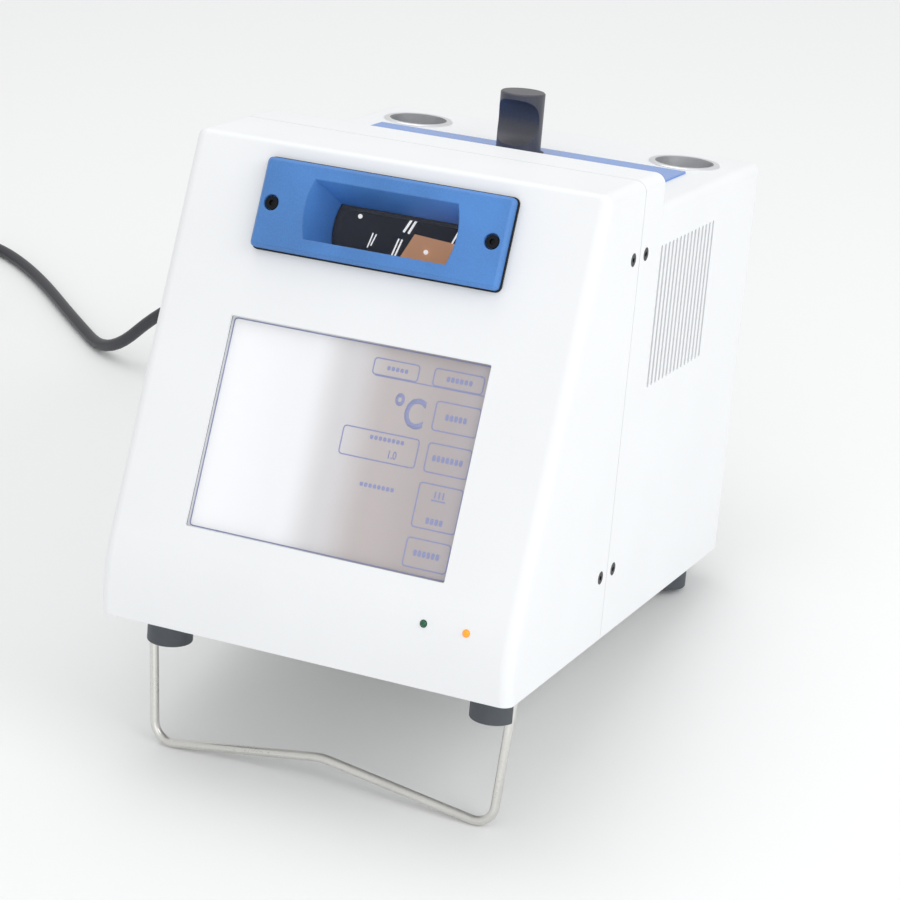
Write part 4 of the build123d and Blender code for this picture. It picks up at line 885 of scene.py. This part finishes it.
@dataclass
class RearPanel:
    """The inlet, switch, fan and sockets on the rear panel.

    The rocker's marks sit above and below its pivot. Each is laid on the face that a ray meets,
    which sets out from as far behind the pivot as the sight says.
    """

    mark_rise: float = 4.8
    mark_line: float = 0.22
    ring_radius: float = 1.7
    bar_half: float = 1.8
    sight: float = 20.0
    ring_points: int = 12

    def build(self) -> None:
        """Dress what the rear panel carries and mark the rocker's two halves."""
        dress(BLACK_NYLON, "power_inlet", "fuse_drawer", "fan_frame", "fan_rotor")
        dress(BLACK_GLOSS, "power_rocker")
        dress(FUSE_GLASS, "fuses")
        dress(PLATED_STEEL, "usb_socket", "serial_socket")
        self.make_rocker_marks()

    def half_matrix(self, rise: float) -> Matrix:
        """Return the place of a mark on the rocker's face.

        Args:
            rise: How far above the pivot the mark is, in millimetres.

        Returns:
            The face's own axes there, with the face's normal as the third.

        Raises:
            RuntimeError: If the sight line misses the rocker.
        """
        up = Vector(joint("plug_lift")["axis"])
        back = Vector(joint("fuse_drawer_slide")["axis"])
        rocker = frame["nodes"]["power_rocker"]
        pivot = Vector(joint("rocker_rock")["pos_m"])
        start = pivot + up * (rise * MM) + back * (self.sight * MM)
        inverse = rocker.matrix_world.inverted()
        hit, place, normal, _ = rocker.ray_cast(inverse @ start, inverse.to_3x3() @ -back)
        if not hit:
            raise RuntimeError("the rocker has no face behind its mark")
        normal = (rocker.matrix_world.to_3x3() @ normal).normalized()
        across = up.cross(normal).normalized()
        axes = Matrix((across, normal.cross(across), normal)).transposed()
        return Matrix.Translation(rocker.matrix_world @ place) @ axes.to_4x4()

    def make_rocker_marks(self) -> None:
        """Make the ring for off and the bar for on, printed on the rocker."""
        marks = new_line("rocker_marks", radius=self.mark_line, resolution=2)
        turns = [2 * math.pi * step / self.ring_points for step in range(self.ring_points)]
        ring = [(self.ring_radius * math.cos(turn), self.ring_radius * math.sin(turn))
                for turn in turns]
        bar = [(0.0, -self.bar_half), (0.0, self.bar_half)]
        for points, rise in ((ring, self.mark_rise), (bar, -self.mark_rise)):
            matrix = self.half_matrix(rise)
            spline = marks.data.splines.new("POLY")
            spline.points.add(len(points) - 1)
            spline.use_cyclic_u = points is ring
            for point, (across, along) in zip(spline.points, points):
                point.co = (*(matrix @ Vector((across * MM, along * MM, 0))), 1)
        marks = settle(as_mesh(marks), "rocker_marks", WHITE_PRINT.build(), "power_rocker")


@dataclass
class Stand:
    """The feet and the wire bail that tilts the case."""

    def build(self) -> None:
        """Dress the feet and the bail."""
        dress(FOOT_RUBBER, "front_feet", "rear_feet")
        dress(STAINLESS_WIRE, "bail")


@dataclass
class PowerLead:
    """The mains lead: its route over the table, its tied coil and its plug.

    The route is the middle of the cord. The coil winds inwards on the table, climbs by one
    cord's width and winds outwards on top, where the plug ends it.
    """

    radius: float = 3.3
    exit: tuple[float, float, float] = (-52.0, 182.0, 80.1)
    route: tuple[tuple[float, float, float], ...] = (
        (-52.0, 205.4, 74.8), (-63.0, 222.0, 73.0), (-93.0, 238.0, 71.0),
        (-132.0, 238.0, 69.0), (-173.0, 224.0, 64.0), (-214.0, 205.0, 56.0),
        (-253.0, 189.5, 41.0), (-292.0, 190.0, 3.3), (-333.0, 223.0, 3.3),
        (-378.0, 262.0, 3.3), (-414.0, 286.0, 3.3), (-441.0, 295.4, 3.3),
        (-468.0, 295.4, 3.3))
    coil_centre: tuple[float, float] = (-502.0, 249.0)
    outer_turn: float = 46.4
    inner_turn: float = 26.6
    layer_turns: int = 3
    climb_turns: float = 0.5
    turn_points: int = 24
    plug_reach: float = 34.0
    length_m: float = 2.05

    def coil_points(self) -> list[tuple[float, float, float]]:
        """Work out the coil's turns: inwards on the table, then outwards on top.

        Returns:
            The points of the turns, from the outside below to the outside above.
        """
        step = 2 * math.pi / self.turn_points
        # The curve runs a little inside its control points, so they are set further out.
        widen = 2 / (1 + math.cos(step))
        total = 2 * self.layer_turns + self.climb_turns
        points = []
        for number in range(1, int(total * self.turn_points) + 1):
            turn = number / self.turn_points
            inward = min(turn / self.layer_turns, 1.0)
            past_climb = turn - self.layer_turns - self.climb_turns
            outward = max(past_climb / self.layer_turns, 0.0)
            radius = self.outer_turn + (self.inner_turn - self.outer_turn) * (inward - outward)
            rise = min(max((turn - self.layer_turns) / self.climb_turns, 0.0), 1.0)
            smooth = rise * rise * (3 - 2 * rise)
            angle = math.pi / 2 + number * step
            points.append((
                self.coil_centre[0] + radius * widen * math.cos(angle),
                self.coil_centre[1] + radius * widen * math.sin(angle),
                self.radius * (1 + 2 * smooth)))
        return points

    def build(self) -> None:
        """Make the lead as one smooth curve and dress its ends."""
        dress(CORD_PVC, "cord_connector", "mains_plug")
        dress(BLACK_NYLON, "cord_tie")
        start = (self.coil_centre[0], self.coil_centre[1] + self.outer_turn, self.radius)
        bottom = self.coil_centre[1] - self.outer_turn
        end = (self.coil_centre[0] + self.plug_reach, bottom, 3 * self.radius)
        points = [self.exit, *self.route, start, *self.coil_points(), end]
        lead = new_line("power_lead", radius=self.radius, resolution=5)
        lead.data.resolution_u = 8
        spline = lead.data.splines.new("NURBS")
        spline.points.add(len(points) - 1)
        for control, point in zip(spline.points, points):
            control.co = (*(value * MM for value in point), 1)
        spline.order_u = 3
        spline.use_endpoint_u = True
        spline.use_smooth = True
        lead.data.materials.append(CORD_PVC.build())
        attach(lead, CASE)
        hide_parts("power_cord", "cord_coil")
        LOG.info("power_lead: %d points", len(points))


@dataclass(frozen=True)
class Lamp:
    """One soft square lamp: where it hangs, the length of its side and its watts."""

    name: str
    place: tuple[float, float, float]
    side: float
    power: float


@dataclass
class Studio:
    """The pale table, the soft light and the camera at the photograph's place.

    The camera's place, angles in degrees and lens come from a fit to the photograph. The lamps
    are kept low enough for the front of the white case not to clip.
    """

    camera_place: tuple[float, float, float] = (492.5, -1073.3, 726.1)
    azimuth: float = 24.534
    elevation: float = 27.972
    roll: float = 0.418
    lens: float = 118.58
    sensor: float = 36.0
    clip: tuple[float, float] = (50.0, 50000.0)
    lamps: tuple[Lamp, ...] = (
        Lamp("key", (1300, -300, 1100), 900, 7.2),
        Lamp("top", (-300, 200, 1500), 1100, 4.5),
        Lamp("fill", (500, -1500, 260), 1000, 3.0))
    aim: tuple[float, float, float] = (0, 0, 120)
    sky: float = 0.75
    table: str = "F6F7F7"
    table_side: float = 12000.0
    table_roughness: float = 0.7
    table_gloss: float = 0.2

    def build(self) -> None:
        """Make the table, world, lamps and camera."""
        self.make_table()
        self.make_world()
        for lamp in self.lamps:
            self.make_lamp(lamp)
        self.make_camera()

    def make_table(self) -> None:
        """Make the plain pale table that the apparatus stands on."""
        clear_selection()
        bpy.ops.mesh.primitive_plane_add(size=self.table_side * MM)
        table = bpy.context.object
        table.name = "table"
        surface = bpy.data.materials.new("pale_table")
        surface.use_nodes = True
        shader = surface.node_tree.nodes["Principled BSDF"]
        shader.inputs["Base Color"].default_value = linear(self.table)
        shader.inputs["Roughness"].default_value = self.table_roughness
        shader.inputs["Specular IOR Level"].default_value = self.table_gloss
        table.data.materials.append(surface)

    def make_world(self) -> None:
        """Light the scene evenly from all round."""
        world = bpy.data.worlds.new("studio")
        bpy.context.scene.world = world
        world.use_nodes = True
        sky = world.node_tree.nodes["Background"]
        sky.inputs["Color"].default_value = linear("FFFFFF")
        sky.inputs["Strength"].default_value = self.sky

    def make_lamp(self, lamp: Lamp) -> None:
        """Hang one soft lamp that points at the apparatus.

        Args:
            lamp: The lamp.
        """
        light = bpy.data.lights.new(lamp.name, "AREA")
        light.size = lamp.side * MM
        light.energy = lamp.power
        hung = bpy.data.objects.new(lamp.name, light)
        bpy.context.scene.collection.objects.link(hung)
        hung.location = Vector(lamp.place) * MM
        ray = Vector(self.aim) * MM - hung.location
        hung.rotation_euler = ray.to_track_quat("-Z", "Y").to_euler()

    def make_camera(self) -> None:
        """Set the camera where the photograph was taken from."""
        data = bpy.data.cameras.new("camera")
        data.lens = self.lens
        data.sensor_width = self.sensor
        data.clip_start, data.clip_end = (reach * MM for reach in self.clip)
        camera = bpy.data.objects.new("camera", data)
        bpy.context.scene.collection.objects.link(camera)
        turn, drop, lean = (math.radians(a) for a in (self.azimuth, self.elevation, self.roll))
        ahead = Vector((
            -math.sin(turn) * math.cos(drop), math.cos(turn) * math.cos(drop), -math.sin(drop)))
        level = ahead.cross(Vector((0, 0, 1))).normalized()
        down = ahead.cross(level)
        right = level * math.cos(lean) + down * math.sin(lean)
        under = down * math.cos(lean) - level * math.sin(lean)
        place = Matrix((right, -under, -ahead)).transposed().to_4x4()
        camera.matrix_world = Matrix.Translation(Vector(self.camera_place) * MM) @ place
        bpy.context.scene.camera = camera


def main() -> None:
    """Build and dress the whole apparatus in order."""
    logging.basicConfig(level=logging.INFO, format="%(message)s")
    bpy.context.scene.view_settings.view_transform = "Standard"
    for part in (
            Studio(), PowerLead(), Enclosure(), Magnifier(), Display(), Oven(), RearPanel(),
            Stand()):
        part.build()


if __name__ == "__main__":
    main()
